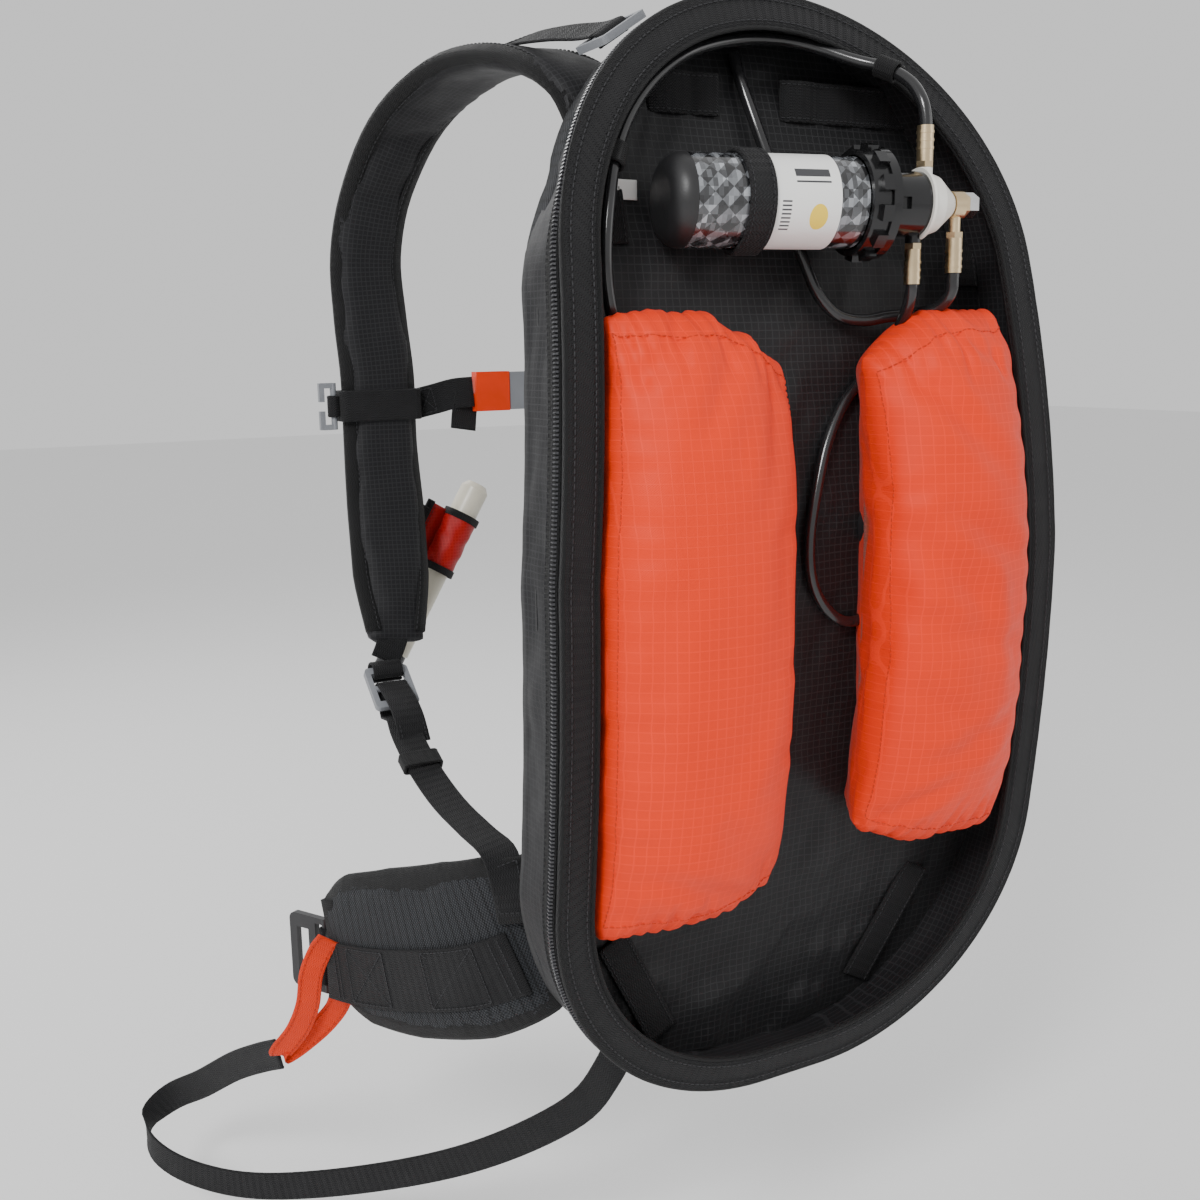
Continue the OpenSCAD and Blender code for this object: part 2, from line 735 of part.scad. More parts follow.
// Return spring of the piston
module piston_spring() {
    turns = 4;
    n = 14;
    a = 42.8;
    b = piston_x - 0.8;
    p = [for (i = [0:turns * n])
        [8.4 * cos(360 * i / n), 8.4 * sin(360 * i / n), a + (b - a) * i / turns / n]];
    color([0.6, 0.6, 0.62]) place() on_axis(0) loft([
        for (i = [0:len(p) - 1])
            let (t = tangent(p, i), u = unit([p[i][0], p[i][1], 0]), v = cross(t, u))
            [for (j = [0:5]) p[i] + 0.6 * (cos(60 * j) * u + sin(60 * j) * v)]]);
}

// ---------------------------------------------------------------- shoulder straps

strap_widths = [40, 44, 50, 52, 50, 46, 44, 45, 47, strap_w, strap_w, 51, 50, 38];

// Foam pad with the tab at its lower end that holds the adjuster's top bar
module strap_pad(side) {
    color([0.12, 0.12, 0.13]) place() both(side) {
        padding(spline(strap_path, 2), strap_widths, [1, 0, 0], strap_t);
        at_adjuster() translate([0, 13.5, 0]) rotate([0, 90, 0]) difference() {
            cylinder(h = web_w, r = 7, center = true);
            cylinder(h = web_w + 2, r = 5.4, center = true);
        }
        webbing([[-146, 274, 236], [-149.5, 272, 229], [-154.5, 270.3, 219.7]], web_w, [1, 0, 0]);
    }
}

module left_strap_pad() {
    strap_pad(-1);
}

module right_strap_pad() {
    strap_pad(1);
}

// Ladder lock for a webbing: bars along X, the webbing runs along Y, centre bar on Z = 0
module ladder_lock(w) {
    difference() {
        linear_extrude(4, center = true) round_rect(w + 9, 32, 3);
        cube([w + 2, 22, 6], center = true);
    }
    rotate([0, 90, 0]) cylinder(h = w + 4, r = bar_r, center = true);
}

// Webbing wrapped round a bar that lies along X; its two runs leave towards -Y
module bar_wrap(w, run = 5) {
    rotate([0, 90, 0]) difference() {
        cylinder(h = w, r = wrap_r + web_t / 2, center = true);
        cylinder(h = w + 2, r = wrap_r - web_t / 2, center = true);
        translate([0, -10, 0]) cube([20, 20, w + 2], center = true);
    }
}

// Lower adjuster: where its centre bar lies and how it leans
adjuster_at = [-156, 256, 205];
adjuster_lean = 40;
lifter_at = [-80, 88.5, 578.2];

module at_adjuster() {
    translate(adjuster_at) rotate([adjuster_lean, 0, 0]) children();
}

// Rests on the rim's top corner, across the load lifter webbing
module at_lifter() {
    translate(lifter_at) rotate([0, -33, 0]) children();
}

module adjuster(side) {
    color([0.45, 0.46, 0.48]) place() both(side) at_adjuster() ladder_lock(web_w);
}

module left_adjuster() {
    adjuster(-1);
}

module right_adjuster() {
    adjuster(1);
}

// Adjusting webbing: wrap on the ladder lock, run to the pack, rolled tail and anchor tab
module lower_webbing(side) {
    color([0.1, 0.1, 0.11]) place() both(side) {
        at_adjuster() bar_wrap(web_w);
        webbing(concat([for (p = [[0, -0.4, -3.4], [0, -8, -6.4], [0, -16, -10]])
            adjuster_point(p)], spline(lower_path, 3)), web_w, [1, 0, 0], web_t,
            [0.75, -0.66, 0]);
        webbing([for (p = [[0, -0.4, 3.4], [0, -8, 6], [0, -18, 9], [0, -32, 10],
            [0, -48, 6]]) adjuster_point(p)], web_w, [1, 0, 0]);
        translate([-160.5, 196, 172]) rotate([27, 0, 0]) difference() {
            cube([web_w + 5, 12, 9], center = true);
            cube([web_w + 1, 14, 5], center = true);
        }
    }
}

// A point given in the adjuster's own axes
function adjuster_point(p) = adjuster_at + [p[0],
    p[1] * cos(adjuster_lean) - p[2] * sin(adjuster_lean),
    p[1] * sin(adjuster_lean) + p[2] * cos(adjuster_lean)];

module left_lower_webbing() {
    lower_webbing(-1);
}

module right_lower_webbing() {
    lower_webbing(1);
}

// Load lifter: wrap on its buckle and run to the strap's crest
module lifter_webbing(side) {
    color([0.1, 0.1, 0.11]) place() both(side) {
        at_lifter() rotate(180) bar_wrap(web_w);
        webbing(spline(lifter_path, 3), web_w, [1, 0, 0.4], web_t, [1, 0, 0.65]);
    }
}

module left_lifter_webbing() {
    lifter_webbing(-1);
}

module right_lifter_webbing() {
    lifter_webbing(1);
}

module lifter_buckle(side) {
    color([0.45, 0.46, 0.48]) place() both(side) at_lifter() ladder_lock(web_w);
}

module left_lifter_buckle() {
    lifter_buckle(-1);
}

module right_lifter_buckle() {
    lifter_buckle(1);
}

// ---------------------------------------------------------------- trigger handle

// Puts a shape drawn along +Z on the handle's axis, t up from its lower end
module on_handle(t) {
    translate(handle_at + t * unit(handle_dir))
        rotate([0, atan2(handle_dir[0], handle_dir[2]), 0]) children();
}

// Grip tube with a socket in its lower end
module handle_tube() {
    color([0.83, 0.8, 0.72]) place() on_handle(0) difference() {
        union() {
            cylinder(h = handle_l - 4, r = handle_r);
            translate([0, 0, handle_l - 4]) cylinder(h = 4, r1 = handle_r, r2 = handle_r - 3);
        }
        translate([0, 0, -1]) cylinder(h = 21, r = 6.1);
    }
}

// Fabric sleeve that holds the handle, and its tab sewn to the shoulder pad
module handle_sleeve() {
    color([0.72, 0.08, 0.08]) place() {
        webbing(sleeve_tab, 30, handle_dir);
        on_handle(64) pipe(handle_r + 0.6, handle_r + 2.6, 44);
        on_handle(66) translate([-handle_r - 17, -2, 0]) cube([15.5, 2, 40]);
    }
}

// End fitting of the trigger line that the handle plugs on
module handle_coupling() {
    color([0.2, 0.2, 0.21]) place() {
        on_handle(-14) cylinder(h = 13.7, r = 9);
        on_handle(-1) cylinder(h = 20, r = 6.04);
        on_handle(-22) cylinder(h = 9, r = 4.5);
    }
}

// ---------------------------------------------------------------- chest strap

// Band that slides on a shoulder pad
module slider_band() {
    w = strap_w + 2 * band_gap;
    t = strap_t + 2 * band_gap;
    translate([-strap_x, strap_y, chest_z]) difference() {
        cube([w + 2 * web_t, t + 2 * web_t, web_w], center = true);
        cube([w, t, web_w + 2], center = true);
    }
}

// Both slider bands and both webbings of the chest strap
module chest_webbing() {
    color([0.1, 0.1, 0.11]) place() {
        slider_band();
        mirror([1, 0, 0]) slider_band();
        webbing(spline(chest_left_path, 3), web_w, [0, 0, 1]);
        webbing(spline(chest_right_path, 3), web_w, [0, 0, 1]);
        // folded tail
        webbing([[-80, 293, 390], [-82, 294.5, 378], [-84, 293, 366]], 18, [1, 0, 0]);
        // loop of the gear ring
        translate([ring_x, strap_y, chest_z]) difference() {
            cylinder(h = 14, r = 4, center = true);
            cylinder(h = 16, r = 2.6, center = true);
        }
    }
}

// Receiving half of the side release buckle
module chest_female() {
    color([0.92, 0.3, 0.1]) place() translate([-65, chest_y, 391]) difference() {
        cube([24, 8.4, 26], center = true);
        translate([4, 0, 0]) cube([20, 5.2, 17], center = true);
        for (z = [-1, 1]) translate([5, 0, z * 11]) cube([10, 5.2, 9], center = true);
    }
}

// Inserted half with its two prongs; the webbing runs through a slot behind them
module chest_male() {
    color([0.55, 0.56, 0.58]) place() translate([-53, chest_y, 391]) {
        difference() {
            translate([0.7, -3.6, -12.5]) cube([17, 10.2, 25]);
            translate([9.2, 3.8, 0]) cube([20, 2.4, web_w + 1.4], center = true);
        }
        for (z = [-1, 1])
            translate([-6, 0, z * 5.6]) cube([15, 4, 4], center = true);
    }
}

// Where the split hook's bar stands
ring_x = -strap_x - strap_w / 2 - band_gap - web_t - 3.1;

// Split hook for a hose or a lanyard
module gear_ring() {
    color([0.5, 0.51, 0.53]) place() translate([ring_x, strap_y, chest_z]) {
        cylinder(h = 30, r = 2, center = true);
        for (z = [-1, 1])
            translate([-4, 0, z * 13.4]) cube([8, 3.4, 3.4], center = true);
        for (z = [-1, 1])
            translate([-8, 0, z * 9]) cube([3.4, 3.4, 12], center = true);
    }
}

// ---------------------------------------------------------------- hip belt and leg strap

module hip_wing(side) {
    color([0.22, 0.22, 0.24]) place() both(side)
        padding(spline(wing_path, 3), wing_heights, [0, 0, 1], wing_t);
}

module left_hip_wing() {
    hip_wing(-1);
}

module right_hip_wing() {
    hip_wing(1);
}

// Where the hip buckle's upright bar stands and how it leans out
hip_bar = [-213.5, 239, 40];
hip_out = 30;

// Webbing on the outside of a hip wing, ending in a loop round the buckle's bar
module hip_webbing(side) {
    flat = [for (i = [1:5]) wing_path[i] + [0, 0, -14 + (i == 5 ? 2 : 0)]];
    path = beside(spline(flat, 3), wing_t / 2 + web_t / 2 + 0.5);
    color([0.1, 0.1, 0.11]) place() both(side) {
        webbing(concat(path, [hip_bar + [-0.2, -4.4, 0]]), hip_web_w, [0, 0, 1]);
        translate(hip_bar) difference() {
            cylinder(h = hip_web_w, r = 4.2, center = true);
            cylinder(h = hip_web_w + 2, r = 2.6, center = true);
        }
    }
}

module left_hip_webbing() {
    hip_webbing(-1);
}

module right_hip_webbing() {
    hip_webbing(1);
}

// Buckle plate that swings on its upright bar
module hip_buckle(side) {
    color([0.14, 0.14, 0.15]) place() both(side) translate(hip_bar) rotate(hip_out) {
        cylinder(h = hip_web_w + 12, r = 2.2, center = true);
        for (z = [-1, 1])
            translate([0, 5, z * (hip_web_w / 2 + 4.2)]) cube([4, 12, 4], center = true);
        translate([0, 18, 0]) rotate([0, 90, 0]) difference() {
            linear_extrude(4, center = true) round_rect(hip_web_w + 12.4, 22, 5);
            cube([hip_web_w - 6, 10, 8], center = true);
        }
    }
}

module left_hip_buckle() {
    hip_buckle(-1);
}

module right_hip_buckle() {
    hip_buckle(1);
}

// Webbing that passes between the legs to the loop on the left wing
module leg_strap() {
    color([0.07, 0.07, 0.08]) place() webbing(spline(leg_path, 4), leg_web_w, [0, 0, 1]);
}

// Bright loop that the leg strap hangs in
module leg_loop() {
    color([0.95, 0.25, 0.1]) place()
        webbing(spline(loop_path, 3), 15, [0.88, -0.47, 0]);
}

back_panel();
frame_sheet();
side_gusset();
floor_liner();
rim_band();
zip_tape();
zip_teeth();
left_pouch();
right_pouch();
left_airbag();
right_airbag();
left_inflator();
right_inflator();
floor_webbing();
care_label();
haul_loop();
valve_bracket();
cartridge_strap();
valve_body();
retaining_ring();
seal_disc();
valve_cone();
banjo_bolt();
banjo_ring();
hose_ferrules();
hose_left();
hose_right();
hose_trigger();
cartridge_cylinder();
cartridge_cap();
cartridge_label();
neck_seal();
piercing_piston();
piston_spring();
left_strap_pad();
right_strap_pad();
left_lifter_webbing();
right_lifter_webbing();
left_lifter_buckle();
right_lifter_buckle();
left_lower_webbing();
right_lower_webbing();
left_adjuster();
right_adjuster();
handle_tube();
handle_sleeve();
handle_coupling();
chest_webbing();
chest_female();
chest_male();
gear_ring();
left_hip_wing();
right_hip_wing();
left_hip_webbing();
right_hip_webbing();
left_hip_buckle();
right_hip_buckle();
leg_strap();
leg_loop();
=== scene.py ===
"""Looks of the avalanche airbag backpack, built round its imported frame. Metres, in the row frame."""
import math

import bpy
import numpy as np
from mathutils import Matrix, Vector, noise
from mathutils.bvhtree import BVHTree


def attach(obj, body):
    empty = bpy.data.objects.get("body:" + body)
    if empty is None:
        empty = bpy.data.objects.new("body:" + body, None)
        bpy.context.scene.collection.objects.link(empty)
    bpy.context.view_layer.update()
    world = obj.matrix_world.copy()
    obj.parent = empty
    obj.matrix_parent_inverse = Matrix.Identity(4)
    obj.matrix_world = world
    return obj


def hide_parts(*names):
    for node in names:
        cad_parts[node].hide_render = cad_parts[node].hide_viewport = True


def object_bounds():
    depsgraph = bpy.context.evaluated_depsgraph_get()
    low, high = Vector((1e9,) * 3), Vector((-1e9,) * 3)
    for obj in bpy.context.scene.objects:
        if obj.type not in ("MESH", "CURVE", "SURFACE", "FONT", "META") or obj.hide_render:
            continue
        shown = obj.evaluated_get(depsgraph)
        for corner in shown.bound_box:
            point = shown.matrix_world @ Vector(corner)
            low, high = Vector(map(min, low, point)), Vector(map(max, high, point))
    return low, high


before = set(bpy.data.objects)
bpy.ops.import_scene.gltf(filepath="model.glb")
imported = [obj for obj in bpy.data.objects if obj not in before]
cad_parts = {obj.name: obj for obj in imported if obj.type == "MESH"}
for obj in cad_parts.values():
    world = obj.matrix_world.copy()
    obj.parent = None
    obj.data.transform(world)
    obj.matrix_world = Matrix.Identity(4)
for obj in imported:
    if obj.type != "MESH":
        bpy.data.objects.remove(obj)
cad_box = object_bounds()

# ------------------------------------------------------------------ the frame's own shape, in mm
HANG = np.array([0.0, 145.0, 586.0])     # the haul loop's bearing point, the row frame's origin
PACK_H, PACK_W, WALL, RIM_W, RIM_T = 600.0, 320.0, 52.0, 20.0, 5.0
LEAN, SKEW, CORNER = 47.6, 14.8, 0.12
FLOOR_O, PANEL_O, WALL_IN = 38.0, 43.0, 3.0
WEB_T = 1.6
CART_Y, CART_Z, CART_YAW = 21.5, 490.0, math.radians(10)
CHEST_Z, STRAP_X, STRAP_Y = 384.0, 138.0, 306.0

HOSE_LEFT = [
    (63.3, 10.3, 515), (63.3, 10.3, 524), (63.3, 10.3, 533), (62.5, 13, 543), (61, 21, 553),
    (56, 33, 561), (45, 47, 567), (22, 65, 577), (-9, 70, 577.5), (-42, 67, 569),
    (-70, 58, 553), (-91, 49, 533), (-106, 39, 510), (-114, 31, 488), (-118, 28, 465),
    (-116, 30, 445), (-108, 33, 418), (-96, 34, 388), (-87, 32, 356), (-80, 31, 336),
    (-78, 31, 326)]
HOSE_RIGHT = [
    (57.6, 11.3, 463), (57.6, 11.3, 455), (57.6, 11.5, 446), (59, 16, 437), (61, 25, 426),
    (59, 36, 412), (48, 40, 399), (35, 39, 386), (23, 37, 366), (14, 34, 341), (8, 32, 314),
    (9, 31, 292), (18, 31, 276), (33, 31, 266), (52, 31, 269), (63, 31, 279), (66, 31, 290)]
HOSE_TRIGGER = [
    (-9, 82, 572), (-8, 75, 556), (-4, 66, 532), (3, 58.5, 505), (8, 54.5, 485),
    (15, 49, 463), (21, 44, 445), (32, 41, 434), (47, 38, 431), (61, 34, 433), (73, 26, 434),
    (80, 16, 437), (82.2, 8.5, 444), (82.2, 7, 453), (82.2, 7, 461), (82.2, 7, 469)]
LEG = [
    (-78, 88, 44), (-80, 89, 22), (-87, 99, -8), (-99, 120, -41), (-130, 165, -81),
    (-168, 210, -110), (-220, 262, -133), (-262, 302, -143), (-294, 338, -142), (-311, 366, -134), (-309, 385, -123),
    (-293, 382, -109), (-276, 352, -88), (-261, 315, -61), (-250, 283, -42),
    (-243, 260, -30)]
STRAP = [
    (-72, 92, 504), (-74, 103, 528), (-80, 116, 556), (-93, 152, 576), (-109, 205, 579),
    (-126, 256, 558), (-138, 288, 520), (-143, 303, 480), (-141, 306, 440), (-138, 306, 402),
    (-138, 306, 356), (-138, 301, 310), (-141, 288, 264), (-145, 273, 230)]
STRAP_W = [40, 44, 50, 52, 50, 46, 44, 45, 47, 48, 48, 51, 50, 38]
LIFTER = [(-101, 172, 585.2), (-98, 150, 585.6), (-90, 125, 584.2), (-83, 104, 581.6),
          (-81.8, 89, 580.9)]
LOWER = [
    (-158, 233, 190), (-160, 218, 182), (-160, 190, 168), (-158, 158, 156), (-155, 126, 149),
    (-152, 102, 143.5), (-152, 90.5, 130), (-149.5, 87.5, 106)]
WING = [(-118, 87, 105), (-141, 95, 95), (-164, 121, 80), (-187, 164, 66), (-203, 200, 58),
        (-210, 222, 52)]
WING_H = [80, 96, 104, 102, 92, 66]
LOOP = [
    (-220, 210, 64), (-224, 216, 55), (-229, 222, 38), (-231, 227, 16),
    (-236, 236, -4), (-244, 247, -21), (-243, 250, -25), (-234, 246, -20), (-222, 237, -7),
    (-213, 229, 7), (-210.5, 221, 20)]
SLEEVE_TAB = [(-104, 326, 297), (-110, 323.5, 300.5), (-115, 316.5, 303.5), (-120, 310, 306.5),
              (-128, 308, 311), (-137, 308, 316.5)]
HAUL = [(-38, 97, 538), (-38, 107, 548), (-37, 120, 562), (-32, 133, 577), (-18, 142, 588),
        (0, 145, 591), (18, 142, 588), (32, 133, 577), (37, 120, 562), (38, 107, 548),
        (38, 97, 538)]
HIP_BAR = np.array([-213.5, 239.0, 40.0])
ADJUSTER, ADJUSTER_LEAN = np.array([-156.0, 256.0, 205.0]), math.radians(40)
LIFTER_AT, LIFTER_LEAN = np.array([-80.0, 88.5, 578.2]), math.radians(-33)


def row(points):
    """Points in mm from the bottom of the rim, as metres in the row frame."""
    return (np.asarray(points, float) - HANG) / 1000


def bend(z):
    t = 2 * z / PACK_H - 1
    return LEAN * t * t + SKEW * t ** 3


def half_w(z, d=0.0):
    """Half the rim's width at height z, grown by d."""
    best = 0.0
    discs = ((20, 140, 140), (0, 300, 160), (0, 452, 148))
    for a, b in zip(discs, discs[1:]):
        for i in range(11):
            x, c, r = (a[k] + (b[k] - a[k]) * i / 10 for k in range(3))
            inside = (r + d) ** 2 - (z - c) ** 2
            if inside >= -1e-6:
                best = max(best, x + math.sqrt(max(0, inside)))
    return best


def wall_w(z, d, o):
    k = min(1, max(0, (z - 450) / 60))
    return half_w(z, d) * (1 - CORNER * o / WALL * k * k * (3 - 2 * k))


def resampled(points, n, closed=False):
    """n points evenly spaced along a polyline."""
    p = np.asarray(points, float)
    if closed:
        p = np.vstack([p, p[:1]])
    run = np.concatenate([[0], np.cumsum(np.linalg.norm(np.diff(p, axis=0), axis=1))])
    t = np.linspace(0, run[-1], n, endpoint=not closed)
    return np.stack([np.interp(t, run, p[:, k]) for k in range(3)], 1)


def outline(d, o, n=220):
    """The rim's outline as n points, grown by d and set back by o, from the bottom upwards."""
    m = 90
    zs = [-d + (PACK_H + 2 * d) * (1 - math.cos(math.pi * i / m)) / 2 for i in range(m + 1)]
    right = [(wall_w(z, d, o), bend(z) + o, z) for z in zs]
    left = [(-x, y, z) for x, y, z in right]
    return resampled(right + left[:0:-1] + left[:1], n, closed=True)


def spline(points, n=4):
    """A smooth curve through points, n steps to each stretch."""
    p = np.asarray(points, float)
    p = np.vstack([2 * p[0] - p[1], p, 2 * p[-1] - p[-2]])
    out = []
    for i in range(1, len(p) - 2):
        a, b, c, d = p[i - 1:i + 3]
        for k in range(n):
            t = k / n
            out.append(0.5 * (2 * b + (c - a) * t + (2 * a - 5 * b + 4 * c - d) * t ** 2
                              + (3 * b - a - 3 * c + d) * t ** 3))
    return np.array(out + [p[-2]])


def along(values, t):
    return float(np.interp(t, np.linspace(0, 1, len(values)), values))


def unit(v):
    v = np.asarray(v, float)
    return v / (np.linalg.norm(v, axis=-1, keepdims=True) + 1e-12)


def tangents(p):
    return unit(np.gradient(p, axis=0))


def mirrored(points):
    return np.asarray(points, float) * (-1, 1, 1)


def hashed(i, k=0):
    """A repeatable number from 0 to 1 for whole number i."""
    return (math.sin(i * 127.1 + k * 311.7) * 43758.5453) % 1.0


# ------------------------------------------------------------------ materials
def node(tree, kind, values=(), **props):
    n = tree.nodes.new(kind)
    for key, value in props.items():
        setattr(n, key, value)
    for key, value in dict(values).items():
        if isinstance(value, bpy.types.NodeSocket):
            tree.links.new(value, n.inputs[key])
        else:
            n.inputs[key].default_value = value
    return n


def maths(tree, operation, *values):
    return node(tree, "ShaderNodeMath", dict(enumerate(values)), operation=operation).outputs[0]


def places(tree, kind, scale=1000.0):
    """x, y and z of the surface in mm: from its unwrapping, or from where it is."""
    coords = node(tree, "ShaderNodeTexCoord")
    split = node(tree, "ShaderNodeSeparateXYZ", {0: coords.outputs[kind]})
    vector = coords.outputs[kind]
    return vector, [maths(tree, "MULTIPLY", split.outputs[k], scale) for k in range(3)]


def noise_of(tree, vector, scale, detail=3.0):
    return node(tree, "ShaderNodeTexNoise", {"Vector": vector, "Scale": scale, "Detail": detail}
                ).outputs["Fac"]


def mix(tree, factor, a, b):
    m = node(tree, "ShaderNodeMix", data_type="RGBA")
    for socket, value in ((m.inputs[0], factor), (m.inputs[6], a), (m.inputs[7], b)):
        if isinstance(value, bpy.types.NodeSocket):
            tree.links.new(value, socket)
        else:
            socket.default_value = value if isinstance(value, float) else (*value, 1)
    return m.outputs[2]


def woven(tree, u, v, pitch_u, pitch_v):
    """Height of a plain weave."""
    a = maths(tree, "SINE", maths(tree, "MULTIPLY", u, 2 * math.pi / pitch_u))
    b = maths(tree, "SINE", maths(tree, "MULTIPLY", v, 2 * math.pi / pitch_v))
    return maths(tree, "MULTIPLY", a, b)


def line(tree, u, pitch, width):
    """1 on lines a pitch apart, else 0."""
    off = maths(tree, "PINGPONG", u, pitch / 2)
    return maths(tree, "LESS_THAN", off, width / 2)


def finished(name, colour, rough, height=None, depth=0.0003, metal=0.0, sheen=0.0, coat=0.0,
             strength=0.6):
    """A material whose colour is a tuple or a function of the node tree."""
    material = bpy.data.materials.new(name)
    material.use_nodes = True
    tree = material.node_tree
    shader = tree.nodes["Principled BSDF"]
    shader.inputs["Metallic"].default_value = metal
    shader.inputs["Roughness"].default_value = rough
    shader.inputs["Sheen Weight"].default_value = sheen
    shader.inputs["Sheen Roughness"].default_value = 0.45
    if sheen:                                  # cloth throws back less than a moulding
        shader.inputs["Specular IOR Level"].default_value = 0.22
    shader.inputs["Coat Weight"].default_value = coat
    shader.inputs["Coat Roughness"].default_value = 0.08
    made = colour(tree) if callable(colour) else colour
    if isinstance(made, tuple):
        vector, _ = places(tree, "Object")
        spots = noise_of(tree, vector, 45.0)
        dark = tuple(0.78 * c for c in made)
        bright = tuple(min(1, 1.12 * c + 0.004) for c in made)
        made = mix(tree, spots, dark, bright)
    tree.links.new(made, shader.inputs["Base Color"])
    vector, _ = places(tree, "Object")
    wear = noise_of(tree, vector, 120.0)
    spread = maths(tree, "MULTIPLY_ADD", wear, 0.24, max(0.02, rough - 0.12))
    tree.links.new(spread, shader.inputs["Roughness"])
    if height is None:
        vector, _ = places(tree, "Object")
        top = noise_of(tree, vector, 900.0, 2.0)
    else:
        top = height(tree)
    bump = node(tree, "ShaderNodeBump", {"Height": top, "Strength": strength, "Distance": depth})
    tree.links.new(bump.outputs[0], shader.inputs["Normal"])
    return material


def webbing_material(name, colour, pitch=1.5, sheen=0.04):
    """Narrow woven tape: ribs that run to and fro across it, with plain selvedges."""
    def height(tree):
        _, (u, v, _) = places(tree, "UV")
        wave = maths(tree, "PINGPONG", v, 2.6)
        slanted = maths(tree, "ADD", u, maths(tree, "MULTIPLY", wave, 0.6))
        return woven(tree, slanted, v, pitch, 2.6)

    def tint(tree):
        vector, (u, v, _) = places(tree, "UV")
        thread = maths(tree, "MULTIPLY_ADD", woven(tree, u, v, pitch, 2.6), 0.25, 0.5)
        cloud = noise_of(tree, vector, 60.0)
        share = maths(tree, "MULTIPLY_ADD", cloud, 0.6, maths(tree, "SUBTRACT", thread, 0.3))
        dark = tuple(0.6 * c for c in colour)
        bright = tuple(min(1, 1.35 * c + 0.006) for c in colour)
        return mix(tree, share, dark, bright)
    return finished(name, tint, 0.62, height, 0.0004, sheen=sheen, strength=0.8)


def ripstop_material(name, colour, coords="Object", axes=(0, 2), pitch=5.0, sheen=0.05,
                     rough=0.5, cloud=0.18, line_up=1.22):
    """Thin coated cloth with a raised thread every few millimetres both ways."""
    def both(tree):
        vector, xyz = places(tree, coords)
        u, v = xyz[axes[0]], xyz[axes[1]]
        lines = maths(tree, "MAXIMUM", line(tree, u, pitch, 0.55), line(tree, v, pitch, 0.55))
        return vector, u, v, lines

    def height(tree):
        vector, u, v, lines = both(tree)
        fine = maths(tree, "MULTIPLY", woven(tree, u, v, 1.1, 1.1), 0.22)
        soft = maths(tree, "MULTIPLY", noise_of(tree, vector, 90.0), 1.2)
        return maths(tree, "ADD", maths(tree, "ADD", lines, fine), soft)

    def tint(tree):
        vector, u, v, lines = both(tree)
        dark = tuple((1 - cloud) * c for c in colour)
        bright = tuple(min(1, (1 + cloud * 0.4) * c) for c in colour)
        thread = tuple(min(1, line_up * c + 0.01) for c in colour)
        base = mix(tree, noise_of(tree, vector, 22.0), dark, bright)
        return mix(tree, maths(tree, "MULTIPLY", lines, 0.55), base, thread)
    return finished(name, tint, rough, height, 0.00035, sheen=sheen, strength=0.55)


def mesh_material(name, colour, pitch=2.4):
    """Ribbed spacer mesh: rows of small open cells."""
    def height(tree):
        _, (u, v, _) = places(tree, "UV")
        return woven(tree, u, v, pitch, pitch * 0.8)

    def tint(tree):
        vector, (u, v, _) = places(tree, "UV")
        # Painted shade and highlight: the low open cells of the bump are painted darker and its raised tops lighter,
        # following the bump height; the rib lines every 6 mm are a darker stripe.
        cell = maths(tree, "MULTIPLY_ADD", woven(tree, u, v, pitch, pitch * 0.8), 0.5, 0.5)
        ribs = maths(tree, "MULTIPLY", line(tree, v, 6.0, 1.4), 0.5)
        dark = tuple(0.35 * c for c in colour)
        bright = tuple(min(1, 1.5 * c) for c in colour)
        return mix(tree, maths(tree, "SUBTRACT", cell, ribs), dark, bright)
    return finished(name, tint, 0.7, height, 0.0006, sheen=0.05, strength=0.9)


def cartridge_places(tree):
    """Distance round and along the cartridge, in mm."""
    _, (x, y, z) = places(tree, "Object")
    x0, y0, z0 = row((0, CART_Y, CART_Z)) * 1000
    c, s = math.cos(CART_YAW), math.sin(CART_YAW)
    dx, dy = maths(tree, "SUBTRACT", x, x0), maths(tree, "SUBTRACT", y, y0)
    dz = maths(tree, "SUBTRACT", z, z0)
    length = maths(tree, "SUBTRACT", maths(tree, "MULTIPLY", dx, c), maths(tree, "MULTIPLY", dy, s))
    depth = maths(tree, "ADD", maths(tree, "MULTIPLY", dx, s), maths(tree, "MULTIPLY", dy, c))
    angle = maths(tree, "ARCTAN2", dz, maths(tree, "MULTIPLY", depth, -1.0))
    return maths(tree, "MULTIPLY", angle, 23.0), length


def carbon_tint(tree):
    """Blocks of tow, woven two over two, under the clear coat; the weave is real, the light grey of its blocks is
    painted sheen on black fibre.
    """
    around, length = cartridge_places(tree)
    a = maths(tree, "MULTIPLY", maths(tree, "ADD", around, length), 0.7071)
    b = maths(tree, "MULTIPLY", maths(tree, "SUBTRACT", around, length), 0.7071)
    cell = node(tree, "ShaderNodeCombineXYZ", {
        0: maths(tree, "SNAP", around, 4.4), 1: maths(tree, "SNAP", length, 2.6)})
    blocks = node(tree, "ShaderNodeTexWhiteNoise", {"Vector": cell.outputs[0]},
                  noise_dimensions="3D").outputs["Value"]
    cross = maths(tree, "GREATER_THAN", woven(tree, a, b, 17.6, 10.4), 0.0)
    share = maths(tree, "MULTIPLY_ADD", blocks, 0.6, maths(tree, "MULTIPLY", cross, 0.4))
    tow_sheen = maths(tree, "MULTIPLY_ADD", line(tree, length, 0.65, 0.3), -0.12, share)
    shown = maths(tree, "POWER", maths(tree, "MAXIMUM", tow_sheen, 0.0), 2.4)
    # Painted sheen: the bright blocks of the black weave are painted light grey.
    return mix(tree, shown, (0.008, 0.008, 0.009), (0.42, 0.44, 0.47))


